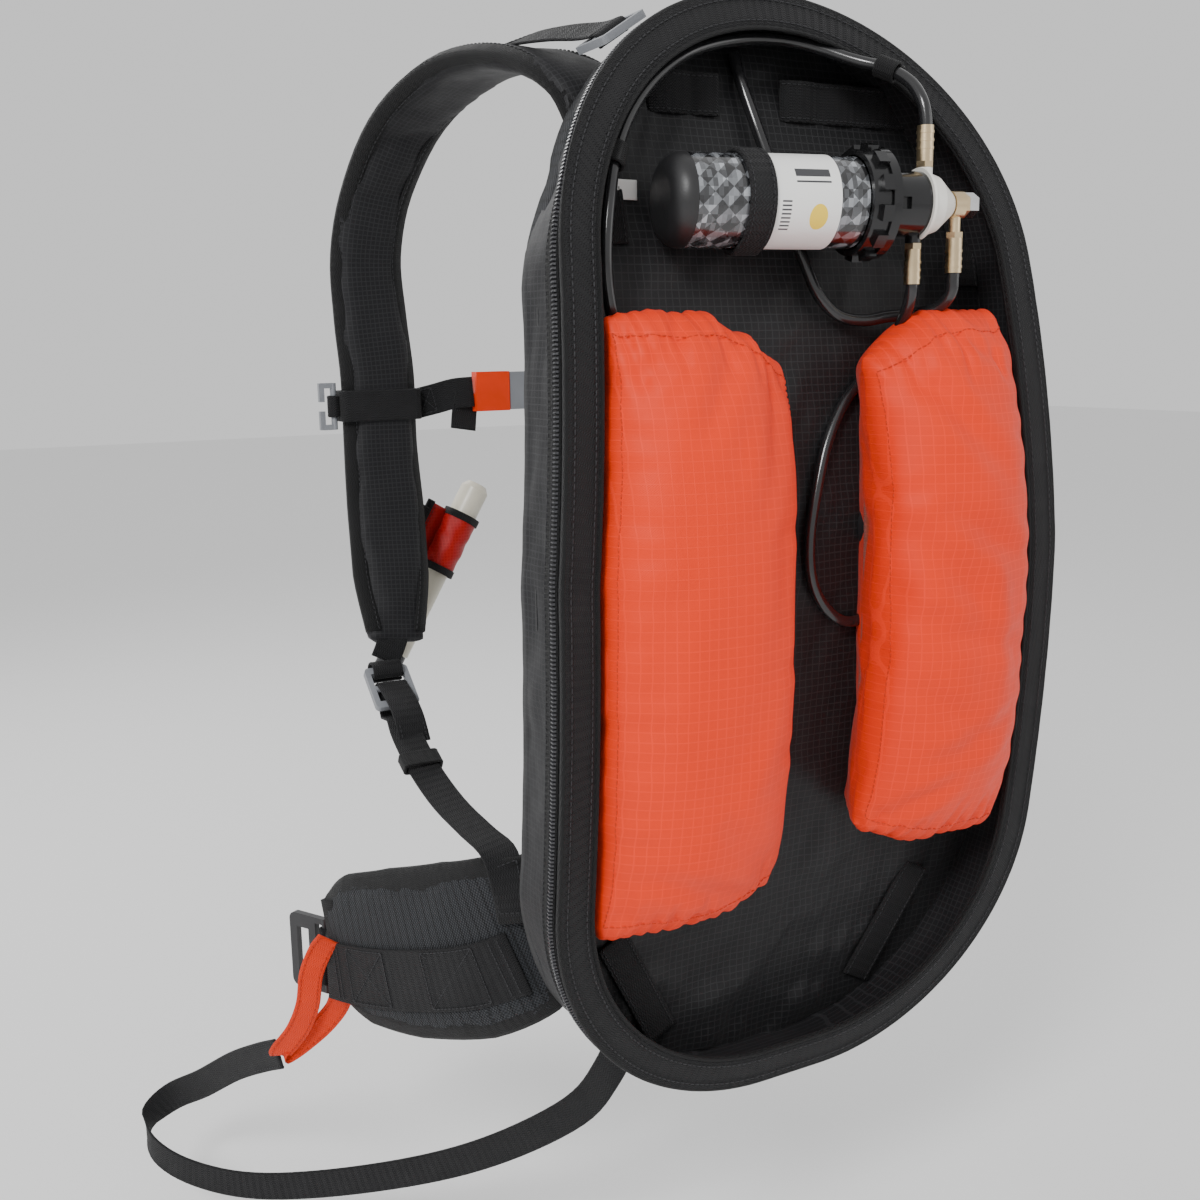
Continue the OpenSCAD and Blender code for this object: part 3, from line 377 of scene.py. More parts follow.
def label_tint(tree):
    """White film with plain bars and an oval, no lettering."""
    around, length = cartridge_places(tree)
    ink = maths(tree, "MULTIPLY", maths(tree, "LESS_THAN", maths(
        tree, "PINGPONG", around, 1.0), 0.42), maths(tree, "COMPARE", length, -26.0, 2.6))
    ink = maths(tree, "MULTIPLY", ink, maths(tree, "COMPARE", around, -9.0, 8.5))
    block = maths(tree, "MULTIPLY", maths(tree, "COMPARE", around, 12.5, 2.2), maths(
        tree, "COMPARE", length, -11.0, 9.5))
    rule = maths(tree, "MULTIPLY", maths(tree, "COMPARE", around, 7.6, 0.5), maths(
        tree, "COMPARE", length, -11.0, 9.5))
    dark = maths(tree, "MINIMUM", maths(tree, "ADD", maths(tree, "ADD", ink, block), rule), 1.0)
    du = maths(tree, "MULTIPLY", maths(tree, "ADD", around, 9.5), 1 / 6.5)
    dv = maths(tree, "MULTIPLY", maths(tree, "ADD", length, 8.0), 1 / 5.0)
    oval = maths(tree, "LESS_THAN", maths(tree, "ADD", maths(tree, "MULTIPLY", du, du), maths(
        tree, "MULTIPLY", dv, dv)), 1.0)
    base = mix(tree, dark, (0.86, 0.86, 0.84), (0.05, 0.05, 0.055))
    return mix(tree, oval, base, (0.93, 0.66, 0.06))


def metal_scratches(tree):
    vector, _ = places(tree, "Object")
    stretched = node(tree, "ShaderNodeMapping", {"Vector": vector, "Scale": (40.0, 900.0, 900.0)})
    return noise_of(tree, stretched.outputs[0], 1.0, 2.0)


MATERIALS = {
    "orange": ripstop_material("orange_ripstop", (0.86, 0.036, 0.0015), rough=0.5, cloud=0.12,
                               line_up=1.14),
    "bag": ripstop_material("airbag_nylon", (0.7, 0.08, 0.01)),
    "floor": ripstop_material("floor_ripstop", (0.013, 0.013, 0.014), pitch=4.2, rough=0.4,
                              line_up=2.2),
    "wall": ripstop_material("wall_cloth", (0.014, 0.014, 0.0155), axes=(1, 2), pitch=3.4,
                             rough=0.5, line_up=1.9),
    "strap": ripstop_material("strap_cloth", (0.013, 0.013, 0.0145), coords="UV", axes=(0, 1),
                              pitch=3.0, rough=0.55, line_up=1.9),
    "mesh": mesh_material("spacer_mesh", (0.026, 0.028, 0.032)),
    "web": webbing_material("black_webbing", (0.0085, 0.0085, 0.0095)),
    "binding": webbing_material("binding_tape", (0.007, 0.007, 0.0075), pitch=1.1),
    "rim": webbing_material("rim_band_cloth", (0.009, 0.009, 0.01), pitch=1.3),
    "loop": webbing_material("loop_tape", (0.86, 0.04, 0.002)),
    "red": ripstop_material("red_nylon", (0.4, 0.008, 0.008), pitch=2.2, rough=0.4),
    "thread": finished("thread", (0.03, 0.03, 0.033), 0.5, sheen=0.05),
    "thread_orange": finished("thread_orange", (0.6, 0.035, 0.003), 0.5, sheen=0.05),
    "zip": finished("zip_coil", (0.035, 0.035, 0.04), 0.28, coat=0.2),
    "hose": finished("hose_rubber", (0.012, 0.012, 0.013), 0.22, coat=0.35, strength=0.1),
    "seal": finished("seal_rubber", (0.02, 0.02, 0.02), 0.5),
    "carbon": finished("carbon_weave", carbon_tint, 0.2, coat=0.9, strength=0.08),
    "label": finished("label_film", label_tint, 0.4, strength=0.05),
    "paper": finished("care_tag", (0.8, 0.8, 0.78), 0.6),
    "gloss_black": finished("anodised_black", (0.012, 0.012, 0.013), 0.2, metal_scratches,
                            0.00008, metal=0.4, coat=0.4, strength=0.3),
    "flange": finished("satin_flange", (0.33, 0.33, 0.34), 0.3, metal_scratches, 0.0001,
                       metal=0.9, strength=0.3),
    "white": finished("white_polymer", (0.84, 0.82, 0.76), 0.35, strength=0.15),
    "chrome": finished("bolt_chrome", (0.8, 0.8, 0.8), 0.16, metal_scratches, 0.00008,
                       metal=1.0, strength=0.25),
    "brass": finished("satin_brass", (0.74, 0.58, 0.36), 0.3, metal_scratches, 0.0001,
                      metal=1.0, strength=0.4),
    "cap": finished("cap_black", (0.014, 0.014, 0.015), 0.42, strength=0.2),
    "grey": finished("grey_moulding", (0.24, 0.25, 0.27), 0.38, strength=0.25),
    "black": finished("black_moulding", (0.018, 0.018, 0.02), 0.38, strength=0.25),
    "dark": finished("dark_moulding", (0.03, 0.03, 0.033), 0.5, strength=0.4),
    "beige": finished("handle_polymer", (0.72, 0.68, 0.56), 0.34, strength=0.15),
    "bright_orange": finished("buckle_orange", (0.85, 0.045, 0.002), 0.36, strength=0.2),
}


# ------------------------------------------------------------------ pieces
PACK = "pack"


def place_object(obj, material, body, replaces=()):
    """Gives a new piece its material, body and the CAD nodes it stands for."""
    obj.data.materials.clear()
    obj.data.materials.append(MATERIALS[material])
    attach(obj, body)
    if replaces:
        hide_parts(*replaces)
    return obj


def mesh_object(name, points, faces, uvs=None, smooth=True):
    """A mesh from points in mm; uvs is one (u, v) in mm per corner of each face."""
    mesh = bpy.data.meshes.new(name)
    mesh.from_pydata([tuple(p) for p in row(points)], [], faces)
    if uvs is not None:
        layer = mesh.uv_layers.new(name="UVMap")
        layer.data.foreach_set("uv", (np.asarray(uvs, float) / 1000).ravel().astype(np.float32))
    mesh.polygons.foreach_set("use_smooth", [smooth] * len(mesh.polygons))
    obj = bpy.data.objects.new(name, mesh)
    bpy.context.scene.collection.objects.link(obj)
    return obj


def lofted(name, grid, closed_rows=False, closed_ring=True, capped=True):
    """A skin through rings of points, grid[row][point] in mm, unwrapped in mm."""
    g = np.asarray(grid, float)
    m, n = g.shape[:2]
    across = np.concatenate([[0], np.cumsum(np.linalg.norm(
        np.diff(np.vstack([g[m // 2], g[m // 2][:1]]), axis=0), axis=1))])
    middle = g.mean(1)
    steps = np.linalg.norm(np.diff(np.vstack([middle, middle[:1]]), axis=0), axis=1)
    length = np.concatenate([[0], np.cumsum(steps)])
    faces, uvs = [], []
    for i in range(m if closed_rows else m - 1):
        for j in range(n if closed_ring else n - 1):
            k, l = (i + 1) % m, (j + 1) % n
            faces.append((i * n + j, i * n + l, k * n + l, k * n + j))
            u0, u1, v0, v1 = across[j], across[j + 1], length[i], length[i + 1]
            uvs += [(u0, v0), (u1, v0), (u1, v1), (u0, v1)]
    if capped and closed_ring and not closed_rows:
        for base, turn in ((0, -1), ((m - 1) * n, 1)):
            ring = list(range(base, base + n))[::turn]
            faces.append(tuple(ring))
            uvs += [(across[r - base], length[0 if base == 0 else m - 1]) for r in ring]
    obj = mesh_object(name, g.reshape(-1, 3), faces, uvs)
    outward(obj)
    return obj


def outward(obj):
    """Turns a closed skin's faces outwards."""
    mesh = obj.data
    co = np.array([v.co for v in mesh.vertices])
    total = 0.0
    for p in mesh.polygons:
        a = co[p.vertices[0]]
        for b, c in zip(p.vertices[1:], p.vertices[2:]):
            total += float(np.dot(a, np.cross(co[b], co[c])))
    if total < 0:
        mesh.flip_normals()


def frames(path, across):
    """Tangent, width and thickness directions along a path; across may be one per point."""
    t = tangents(path)
    a = np.broadcast_to(np.asarray(across, float), t.shape)
    w = unit(a - (a * t).sum(1, keepdims=True) * t)
    return t, w, np.cross(t, w)


def web_section(width, thick):
    """A tape's section: flat with soft edges and a slight ridge along both selvedges."""
    w, t = width / 2, thick / 2
    top = [(-w, 0.0), (-w + 0.25, 0.8 * t), (-w + 1.0, 1.12 * t), (-w + 2.2, 0.9 * t), (-w / 3, t),
           (w / 3, t), (w - 2.2, 0.9 * t), (w - 1.0, 1.12 * t), (w - 0.25, 0.8 * t), (w, 0.0)]
    return np.array(top + [(x, -y) for x, y in top[-2:0:-1]])


def tape(name, path, width, across, material="web", body=PACK,
         replaces=(), thick=WEB_T, last=None, wave=0.0):
    """Flat webbing along a path in mm."""
    p = np.asarray(path, float)
    a = np.asarray(across, float)
    if a.ndim == 1 and last is not None:
        k = np.linspace(0, 1, len(p))[:, None]
        a = a * (1 - k) + np.asarray(last, float) * k
    _, w, h = frames(p, a)
    section = web_section(width, thick)
    lift = wave * np.sin(np.linspace(0, 5 * math.pi, len(p)))[:, None] * h
    grid = [p[i] + lift[i] + s[0] * w[i] + s[1] * h[i] for i in range(len(p)) for s in section]
    obj = lofted(name, np.reshape(grid, (len(p), len(section), 3)))
    return place_object(obj, material, body, replaces)


def stitches(name, lines, material="thread", body=PACK, pitch=3.2,
             length=2.3, radius=0.32):
    """Short threads along lines of points in mm."""
    verts, faces = [], []
    for points in lines:
        p = np.asarray(points, float)
        run = np.linalg.norm(np.diff(p, axis=0), axis=1).sum()
        q = resampled(p, max(2, int(run / pitch) + 1))
        for a, b in zip(q, q[1:]):
            t = unit(b - a)
            u = unit(np.cross(t, (0.31, 0.2, 0.93)))
            v = np.cross(t, u)
            c = (a + b) / 2
            start = len(verts)
            for k, r in ((-0.5, 0.45), (-0.3, 1), (0.3, 1), (0.5, 0.45)):
                for j in range(5):
                    g = 2 * math.pi * j / 5
                    verts.append(c + t * k * length + radius * r * (
                        math.cos(g) * u + math.sin(g) * v))
            for i in range(3):
                for j in range(5):
                    l = (j + 1) % 5
                    faces.append((start + i * 5 + j, start + i * 5 + l,
                                  start + i * 5 + 5 + l, start + i * 5 + 5 + j))
            faces.append(tuple(start + j for j in range(4, -1, -1)))
            faces.append(tuple(start + 15 + j for j in range(5)))
    obj = mesh_object(name, verts, faces)
    return place_object(obj, material, body)


def flush(path, width, across, offset, inset=2.2, last=None):
    """Both edge lines of a tape, offset outwards from its middle by offset mm."""
    p = np.asarray(path, float)
    a = np.asarray(across, float)
    if last is not None:
        k = np.linspace(0, 1, len(p))[:, None]
        a = a * (1 - k) + np.asarray(last, float) * k
    _, w, h = frames(p, a)
    return [p + side * (width / 2 - inset) * w + offset * h for side in (-1, 1)]


def box_stitch(path, width, across, offset, i0, i1):
    """A sewn box with both diagonals on a stretch of tape."""
    a, b = flush(path, width, across, offset)
    a, b = a[i0:i1 + 1], b[i0:i1 + 1]
    return [a, b, [a[0], b[0]], [a[-1], b[-1]], [a[0], b[-1]], [b[0], a[-1]]]


def modified(obj, *kinds):
    """Applies modifiers to a piece: (type, {settings})."""
    for kind, settings in kinds:
        m = obj.modifiers.new(kind.lower(), kind)
        for key, value in settings.items():
            setattr(m, key, value)
    graph = bpy.context.evaluated_depsgraph_get()
    graph.update()
    mesh = bpy.data.meshes.new_from_object(obj.evaluated_get(graph), depsgraph=graph)
    obj.modifiers.clear()
    obj.data = mesh
    mesh.polygons.foreach_set("use_smooth", [True] * len(mesh.polygons))
    return obj


def puffed(obj, voxel=0.005, pressure=4.0, cap=0.006):
    """Inflates a closed soft form by cloth simulation, keeping every point within cap of home."""
    modified(obj, ("REMESH", {"mode": "VOXEL", "voxel_size": voxel}))
    home = np.array([v.co for v in obj.data.vertices])
    cloth = obj.modifiers.new("cloth", "CLOTH")
    s = cloth.settings
    s.use_pressure = True
    s.uniform_pressure_force = pressure
    s.effector_weights.gravity = 0.0
    s.quality = 5
    scene = bpy.context.scene
    for f in range(1, 21):
        scene.frame_set(f)
    graph = bpy.context.evaluated_depsgraph_get()
    done = obj.evaluated_get(graph).to_mesh()
    moved = np.array([v.co for v in done.vertices]) - home
    obj.evaluated_get(graph).to_mesh_clear()
    obj.modifiers.clear()
    scene.frame_set(1)
    size = np.linalg.norm(moved, axis=1, keepdims=True)
    moved *= np.minimum(1, cap / np.maximum(size, 1e-9))
    obj.data.vertices.foreach_set("co", (home + moved).astype(np.float32).ravel())
    obj.data.update()
    return obj


def skin_of(obj):
    """A finished piece's surface, to lay other things on."""
    mesh = obj.data
    return BVHTree.FromPolygons([v.co for v in mesh.vertices],
                                [tuple(p.vertices) for p in mesh.polygons])


def laid(surface, points, lift):
    """Points moved to the nearest place on a surface, lift mm off it."""
    out = []
    for p in row(points):
        place, normal, _, _ = surface.find_nearest(Vector(p))
        out.append((np.array(place) + np.array(normal) * lift / 1000) * 1000 + HANG)
    return np.array(out)


def shaped(obj, change):
    """Moves a mesh's points along their normals by change(point in mm), in mm."""
    co = np.array([v.co for v in obj.data.vertices])
    normals = np.array([v.normal for v in obj.data.vertices])
    mm = co * 1000 + HANG
    step = np.array([change(p, n) for p, n in zip(mm, normals)])
    co += normals * step[:, None] / 1000
    obj.data.vertices.foreach_set("co", co.astype(np.float32).ravel())
    obj.data.update()
    return obj


# ------------------------------------------------------------------ camera, then the cords
def make_camera():
    """The photograph's viewing angle: from the wearer's left front, a little above the middle."""
    yaw, pitch, roll = math.radians(28.33), math.radians(10.72), math.radians(-1.0)
    forward = Vector((math.sin(yaw) * math.cos(pitch), math.cos(yaw) * math.cos(pitch),
                      -math.sin(pitch)))
    right = Vector((math.cos(yaw), -math.sin(yaw), 0))
    up = right.cross(forward)
    side = math.cos(roll) * right + math.sin(roll) * up
    top = math.cos(roll) * up - math.sin(roll) * right
    data = bpy.data.cameras.new("camera")
    data.lens, data.sensor_width = 40.5, 36.0
    camera = bpy.data.objects.new("camera", data)
    bpy.context.scene.collection.objects.link(camera)
    camera.matrix_world = Matrix((
        (side.x, top.x, -forward.x, 0), (side.y, top.y, -forward.y, 0),
        (side.z, top.z, -forward.z, 0), (0, 0, 0, 1)))
    camera.location = row((-438.8, -554.9, 420.6))
    bpy.context.scene.camera = camera


def make_hose(name, route):
    """A pressure hose as a curve along its whole route."""
    curve = bpy.data.curves.new(name, "CURVE")
    curve.dimensions = "3D"
    curve.bevel_depth = 0.0033
    curve.bevel_resolution = 5
    curve.use_fill_caps = True
    line_ = curve.splines.new("POLY")
    fine = row(spline(route, 6))
    line_.points.add(len(fine) - 1)
    line_.points.foreach_set("co", np.hstack([fine, np.ones((len(fine), 1))]).ravel())
    obj = bpy.data.objects.new(name, curve)
    bpy.context.scene.collection.objects.link(obj)
    curve.splines[0].use_smooth = True
    place_object(obj, "hose", PACK, [name.replace("pressure_", "")])
    return obj


def make_leg_strap():
    path = spline(LEG, 6)
    strap = tape("leg_strap_web", path, 20, (0, 0, 1), replaces=["leg_strap"])
    stitches("leg_strap_stitches", flush(path[-9:], 20, (0, 0, 1), 0.95) + flush(
        path[-9:], 20, (0, 0, 1), -0.95))


make_camera()
make_hose("pressure_hose_left", HOSE_LEFT)
make_hose("pressure_hose_right", HOSE_RIGHT)
make_hose("pressure_hose_trigger", HOSE_TRIGGER)
make_leg_strap()


# ------------------------------------------------------------------ airbag pouches
POUCH_TOP, POUCH_BOTTOM, POUCH_GAP, BULGE = 440.0, (112.0, 130.0), (21.0, 28.0), 42.0
TUCK, SHOULDER, BAG_O = 15.0, 0.42, 24.0


def pouch_edges(x, k):
    """Lower and upper edge of a pouch at distance x from the middle, inner corners cut."""
    cut = max(0.0, (68 - x) / (68 - POUCH_GAP[k]))
    return POUCH_BOTTOM[k] + 15 * cut, POUCH_TOP - 26 * cut


def pouch_point(side, u, v, inset=0.0, seam=False):
    """A point of the pouch's skin at u across and v up, -1 to 1, in mm."""
    k = 0 if side < 0 else 1
    low = POUCH_BOTTOM[k]
    inside = inset + (TUCK if seam else 0)
    zm = (POUCH_TOP + low) / 2 + v * (POUCH_TOP - low) / 2
    x0, x1 = POUCH_GAP[k] + inside, half_w(zm) - RIM_W - 2 - inside * 0.6
    x = x0 + (x1 - x0) * (u + 1) / 2
    lo, hi = pouch_edges(x, k)
    z = ((1 - v) * (lo + inside) + (1 + v) * (hi - inside)) / 2
    dome = (1 - abs(u) ** 2.6) ** 0.6 * (1 - abs(v) ** 4) ** 0.6
    base, top = FLOOR_O - 0.4, inset + 14 - BULGE - bend(z) * 0.35
    h = SHOULDER + (1 - SHOULDER) * dome
    o = base if seam else base + h * (top - base)
    return np.array((side * x, bend(z) + o, z))


def pouch_creases(side):
    """Folds as (x0, z0, x1, z1, width, depth) in mm, seen from the front."""
    k = 0 if side < 0 else 1
    low, high = POUCH_BOTTOM[k], POUCH_TOP
    folds = []
    for i in range(15):                       # gathers along the upper and lower seams
        x = POUCH_GAP[k] + 8 + i * 7.6
        drop = 16 + 34 * hashed(i, 3 + k)
        lean = 16 * (hashed(i, 5 + k) - 0.5)
        lo, hi = pouch_edges(x, k)
        folds.append((x, hi - 1, x + lean, hi - drop, 2.6, -1.5))
        folds.append((x, lo + 1, x - lean, lo + drop * 0.8, 2.6, -1.4))
    for i in range(15):                       # short pulls from the side seams
        z = low + 22 + i * (high - low - 40) / 14
        reach = 14 + 22 * hashed(i, 7 + k)
        tilt = 18 * (hashed(i, 9 + k) - 0.4)
        outer = half_w(z) - RIM_W - 4
        folds.append((outer, z, outer - reach, z + tilt, 4.5, -0.5))
        if i % 3 == 0:
            z += 18 * hashed(i, 11 + k)
            folds.append((POUCH_GAP[k] + 6, z, POUCH_GAP[k] + 8 + reach, z - tilt, 5.0, -0.7))
    if side < 0:
        folds += [(34, 425, 62, 330, 7, -2.4), (58, 432, 96, 372, 6, -2.2),
                  (84, 436, 122, 398, 5, -2.0), (40, 372, 52, 250, 9, -1.8),
                  (44, 150, 84, 186, 7, -2.2), (60, 134, 118, 158, 6, -2.0),
                  (112, 300, 126, 210, 8, -1.6), (48, 240, 66, 190, 9, 1.4)]
    else:
        folds += [(40, 418, 78, 372, 6, -2.6), (46, 398, 104, 344, 7, -2.6),
                  (60, 330, 118, 300, 7, -2.8), (44, 318, 98, 262, 8, -2.8),
                  (52, 268, 122, 250, 7, -2.6), (48, 232, 92, 204, 7, -2.6),
                  (60, 190, 116, 214, 7, -2.2), (44, 160, 80, 184, 6, -2.2),
                  (74, 428, 112, 402, 5, -2.0), (88, 300, 100, 226, 8, 1.8)]
    return folds


def crease_change(side):
    folds = pouch_creases(side)
    a = np.array([f[:2] for f in folds])
    d = np.array([f[2:4] for f in folds]) - a
    width, depth = np.array([f[4] for f in folds]), np.array([f[5] for f in folds])
    size = (d ** 2).sum(1)

    def change(p, n):
        if p[1] > bend(p[2]) + FLOOR_O - 6 or n[1] > 0.2:
            return 0.0
        q = np.array((side * p[0], p[2]))
        t = np.clip(((q - a) * d).sum(1) / size, 0, 1)
        off = q - a - t[:, None] * d
        gap = np.sqrt((off ** 2).sum(1))
        fade = np.sin(np.pi * np.clip(0.12 + 0.88 * t, 0, 1)) ** 0.7
        fold = depth * fade * (np.exp(-(gap / width) ** 2) - 0.45 * np.exp(
            -((gap - 1.9 * width) / width) ** 2))
        soft = 1.1 * noise.noise(Vector((p[0] / 26, 7.0 * side, p[2] / 34)))
        return float(fold.sum() + soft)
    return change


def make_pouch(side, name):
    m, n = 34, 20
    us = [math.sin(math.pi / 2 * (2 * i / n - 1)) for i in range(n + 1)]
    vs = [math.sin(math.pi / 2 * (2 * i / m - 1)) for i in range(m + 1)]
    front = [[pouch_point(side, u, v, 2.2) for u in us] for v in vs]
    around = ([(u, -1) for u in us] + [(1, v) for v in vs[1:]] + [(u, 1) for u in us[-2::-1]]
              + [(-1, v) for v in vs[-2:0:-1]])
    seam = [pouch_point(side, u, v, 2.2, seam=True) for u, v in around]
    points = [p for r in front for p in r] + seam
    w = n + 1
    edge = ([j for j in range(n + 1)] + [i * w + n for i in range(1, m + 1)]
            + [m * w + j for j in range(n - 1, -1, -1)] + [i * w for i in range(m - 1, 0, -1)])
    k, base = len(edge), w * (m + 1)
    faces = [(i * w + j, i * w + j + 1, (i + 1) * w + j + 1, (i + 1) * w + j)
             for i in range(m) for j in range(n)]
    faces += [(edge[i], base + i, base + (i + 1) % k, edge[(i + 1) % k]) for i in range(k)]
    faces.append(tuple(base + i for i in range(k))[::-1])
    obj = mesh_object(name + "_cloth", points, faces)
    outward(obj)
    obj = puffed(obj, 0.0045, 4.0, 0.004)
    modified(obj, ("SMOOTH", {"iterations": 2}), ("SUBSURF", {"levels": 1}))
    shaped(obj, crease_change(side))
    place_object(obj, "orange", PACK, [name])
    surface = skin_of(obj)
    lines = []
    for v in (-0.9, 0.9):
        lines.append(laid(surface, [pouch_point(side, u, v, -4) for u in np.linspace(
            -0.93, 0.93, 50)], 0.15))
    for u in (-0.93, 0.93):
        lines.append(laid(surface, [pouch_point(side, u, v, -4) for v in np.linspace(
            -0.9, 0.9, 110)], 0.15))
    stitches(name + "_stitches", lines, "thread_orange", radius=0.36)


make_pouch(-1, "left_pouch")
make_pouch(1, "right_pouch")


# ------------------------------------------------------------------ pack body
def loop_skin(name, profile, material, replaces=(), n=260, change=None):
    """A ring round the outline through a closed profile of (growth, set back)."""
    rings = np.array([outline(d, o, n) for d, o in profile])
    grid = np.swapaxes(rings, 0, 1)
    if change:
        grid = change(grid)
    obj = lofted(name, grid, closed_rows=True, capped=False)
    return place_object(obj, material, PACK, replaces)


def fold_wall(grid):
    """Soft dents and diagonal pulls in the side wall."""
    g = grid.copy()
    m, n = g.shape[:2]
    for i in range(m):
        for j in range(n):
            x, y, z = g[i, j]
            depth = np.clip((y - bend(z) - 8) / 20, 0, 1) * np.clip((bend(z) + 54 - y) / 6, 0, 1)
            wave = noise.noise(Vector((y / 30 + z / 60, z / 42, x / 300))) * 2.6
            wave += 1.1 * noise.noise(Vector((y / 9, z / 16, 3.0)))
            out = unit(np.array((x, 0, (z - 300) * 0.6)))
            g[i, j] += out * (wave - 1.2) * depth
    return g


def make_wall():
    k = 12
    outer = [(-WALL_IN, RIM_T + 0.6 + (WALL - RIM_T - 0.6) * i / k) for i in range(k + 1)]
    inner = [(-WALL_IN - 2, o) for _, o in outer[::-1]]
    loop_skin("side_wall", outer + inner, "wall", ["side_gusset"], 260, fold_wall)


def make_rim():
    section = [(-RIM_W, 4.6), (-RIM_W - 0.4, 3.0), (-RIM_W + 0.6, 1.2), (-RIM_W + 2.6, 0.3),
               (-14, -0.1), (-8, -0.2), (-4, 0.2), (-2.2, -0.4), (-0.8, -0.2), (0.1, 1.2),
               (0.1, 3.4), (-0.8, 4.8), (-5, 4.9), (-14, 4.9)]
    loop_skin("rim_skin", section, "rim", ["rim_band"], 300)
    cords = [[(-RIM_W + 0.4 + 1.3 * math.cos(a), 1.0 + 1.3 * math.sin(a))
              for a in np.linspace(0, 2 * math.pi, 9)[:-1]],
             [(-1.0 + 1.5 * math.cos(a), 0.9 + 1.5 * math.sin(a))
              for a in np.linspace(0, 2 * math.pi, 9)[:-1]]]
    for i, ring in enumerate(cords):
        loop_skin(f"rim_piping_{i}", ring, "binding", (), 300)
    rows = [list(outline(d, -0.55, 300)) for d in (-RIM_W + 4.2, -4.6)]
    stitches("rim_stitches", [r + r[:1] for r in rows], "thread", pitch=3.6,
             length=2.6, radius=0.38)


def make_zip():
    tape_section = [(0.3 - WALL_IN, 9), (1.2 - WALL_IN, 9), (1.5 - WALL_IN, 12),
                    (1.3 - WALL_IN, 18), (1.2 - WALL_IN, 23), (0.3 - WALL_IN, 23)]
    loop_skin("zip_tape_web", tape_section, "binding", ["zip_tape"], 260)
    line_ = outline(2.5 - WALL_IN, 11.6, 2000)
    run = np.linalg.norm(np.diff(line_, axis=0), axis=1).sum()
    q = resampled(line_, int(run / 2.1), closed=True)
    t = unit(np.roll(q, -1, 0) - np.roll(q, 1, 0))
    verts, faces = [], []
    for i, p in enumerate(q):
        back = np.array((0.0, 1.0, 0.0))
        back = unit(back - back.dot(t[i]) * t[i])
        out = np.cross(t[i], back)
        out *= np.sign(out.dot((p[0], 0, p[2] - 300)))
        start = len(verts)
        for a, b, c in ((-1, -1, -1), (1, -1, -1), (1, 1, -1), (-1, 1, -1), (-1, -1, 1),
                        (1, -1, 1), (1, 1, 1), (-1, 1, 1)):
            narrow = 0.62 if c > 0 else 1.0
            verts.append(p + t[i] * 0.62 * a * narrow + back * 1.9 * b * narrow + out * 0.8 * c)
        faces += [tuple(start + v for v in f) for f in (
            (3, 2, 1, 0), (4, 5, 6, 7), (0, 1, 5, 4), (1, 2, 6, 5), (2, 3, 7, 6), (3, 0, 4, 7))]
    teeth = mesh_object("zip_coil_teeth", verts, faces, smooth=False)
    place_object(teeth, "zip", PACK, ["zip_teeth"])
    rows = [list(outline(1.75 - WALL_IN, o, 260)) for o in (16.5, 21.0)]
    stitches("zip_stitches", [r + r[:1] for r in rows], "thread", radius=0.3)


def panel_grid(d, o, n_x=46, n_z=84, z_low=None, z_high=None):
    """A grid over the inside of the outline, grown by d and set back by o."""
    lo = (z_low if z_low is not None else -d) + 0.5
    hi = (z_high if z_high is not None else PACK_H + d) - 0.5
    rows = []
    for i in range(n_z + 1):
        z = lo + (hi - lo) * (1 - math.cos(math.pi * i / n_z)) / 2
        w = wall_w(z, d, o)
        rows.append([(w * (2 * j / n_x - 1), bend(z) + o, z) for j in range(n_x + 1)])
    return np.array(rows, float)


def slab(name, front, back, material, body, replaces=()):
    """A closed solid between two grids with the same rows and columns."""
    m, n = front.shape[:2]
    edge = ([(0, j) for j in range(n)] + [(i, n - 1) for i in range(1, m)]
            + [(m - 1, j) for j in range(n - 2, -1, -1)] + [(i, 0) for i in range(m - 2, 0, -1)])
    k = m * n
    faces, uvs = [], []
    for g, base, turn in ((front, 0, 1), (back, k, -1)):
        for i in range(m - 1):
            for j in range(n - 1):
                f = [(i, j), (i, j + 1), (i + 1, j + 1), (i + 1, j)][::turn]
                faces.append(tuple(base + a * n + b for a, b in f))
                uvs += [(g[a, b][0], g[a, b][2]) for a, b in f]
    for (a, b), (c, d) in zip(edge, edge[1:] + edge[:1]):
        faces.append((a * n + b, k + a * n + b, k + c * n + d, c * n + d))
        uvs += [(front[a, b][1], front[a, b][2]), (back[a, b][1], back[a, b][2]),
                (back[c, d][1], back[c, d][2]), (front[c, d][1], front[c, d][2])]
    points = np.vstack([front.reshape(-1, 3), back.reshape(-1, 3)])
    obj = mesh_object(name, points, faces, uvs)
    outward(obj)
    return place_object(obj, material, body, replaces)


def make_floor():
    front = panel_grid(-WALL_IN - 2.2, FLOOR_O, 84, 150)
    for r in front:
        for p in r:
            x, _, z = p
            inside = np.clip((half_w(z, -WALL_IN - 2) - abs(x)) / 14, 0, 1)
            pull = 3.4 * noise.noise(Vector((x / 30 + z / 90, 1.5, z / 22)))
            pull += 2.2 * (0.4 - abs(noise.noise(Vector((x / 15 - z / 30, 4.5, z / 44)))) * 1.6)
            tight = math.sin((x * 0.6 - z * 0.5) / 7.0 + 2.0 * noise.noise(Vector((
                x / 30, z / 30, 2.0)))) * 0.9 * np.clip((150 - z) / 60, 0, 1)
            p[1] -= inside * (0.8 + max(-0.7, pull + tight))
    back = panel_grid(-WALL_IN - 2.2, FLOOR_O + 1.6, 84, 150)
    slab("floor_cloth", front, back, "floor", PACK, ["floor_liner"])


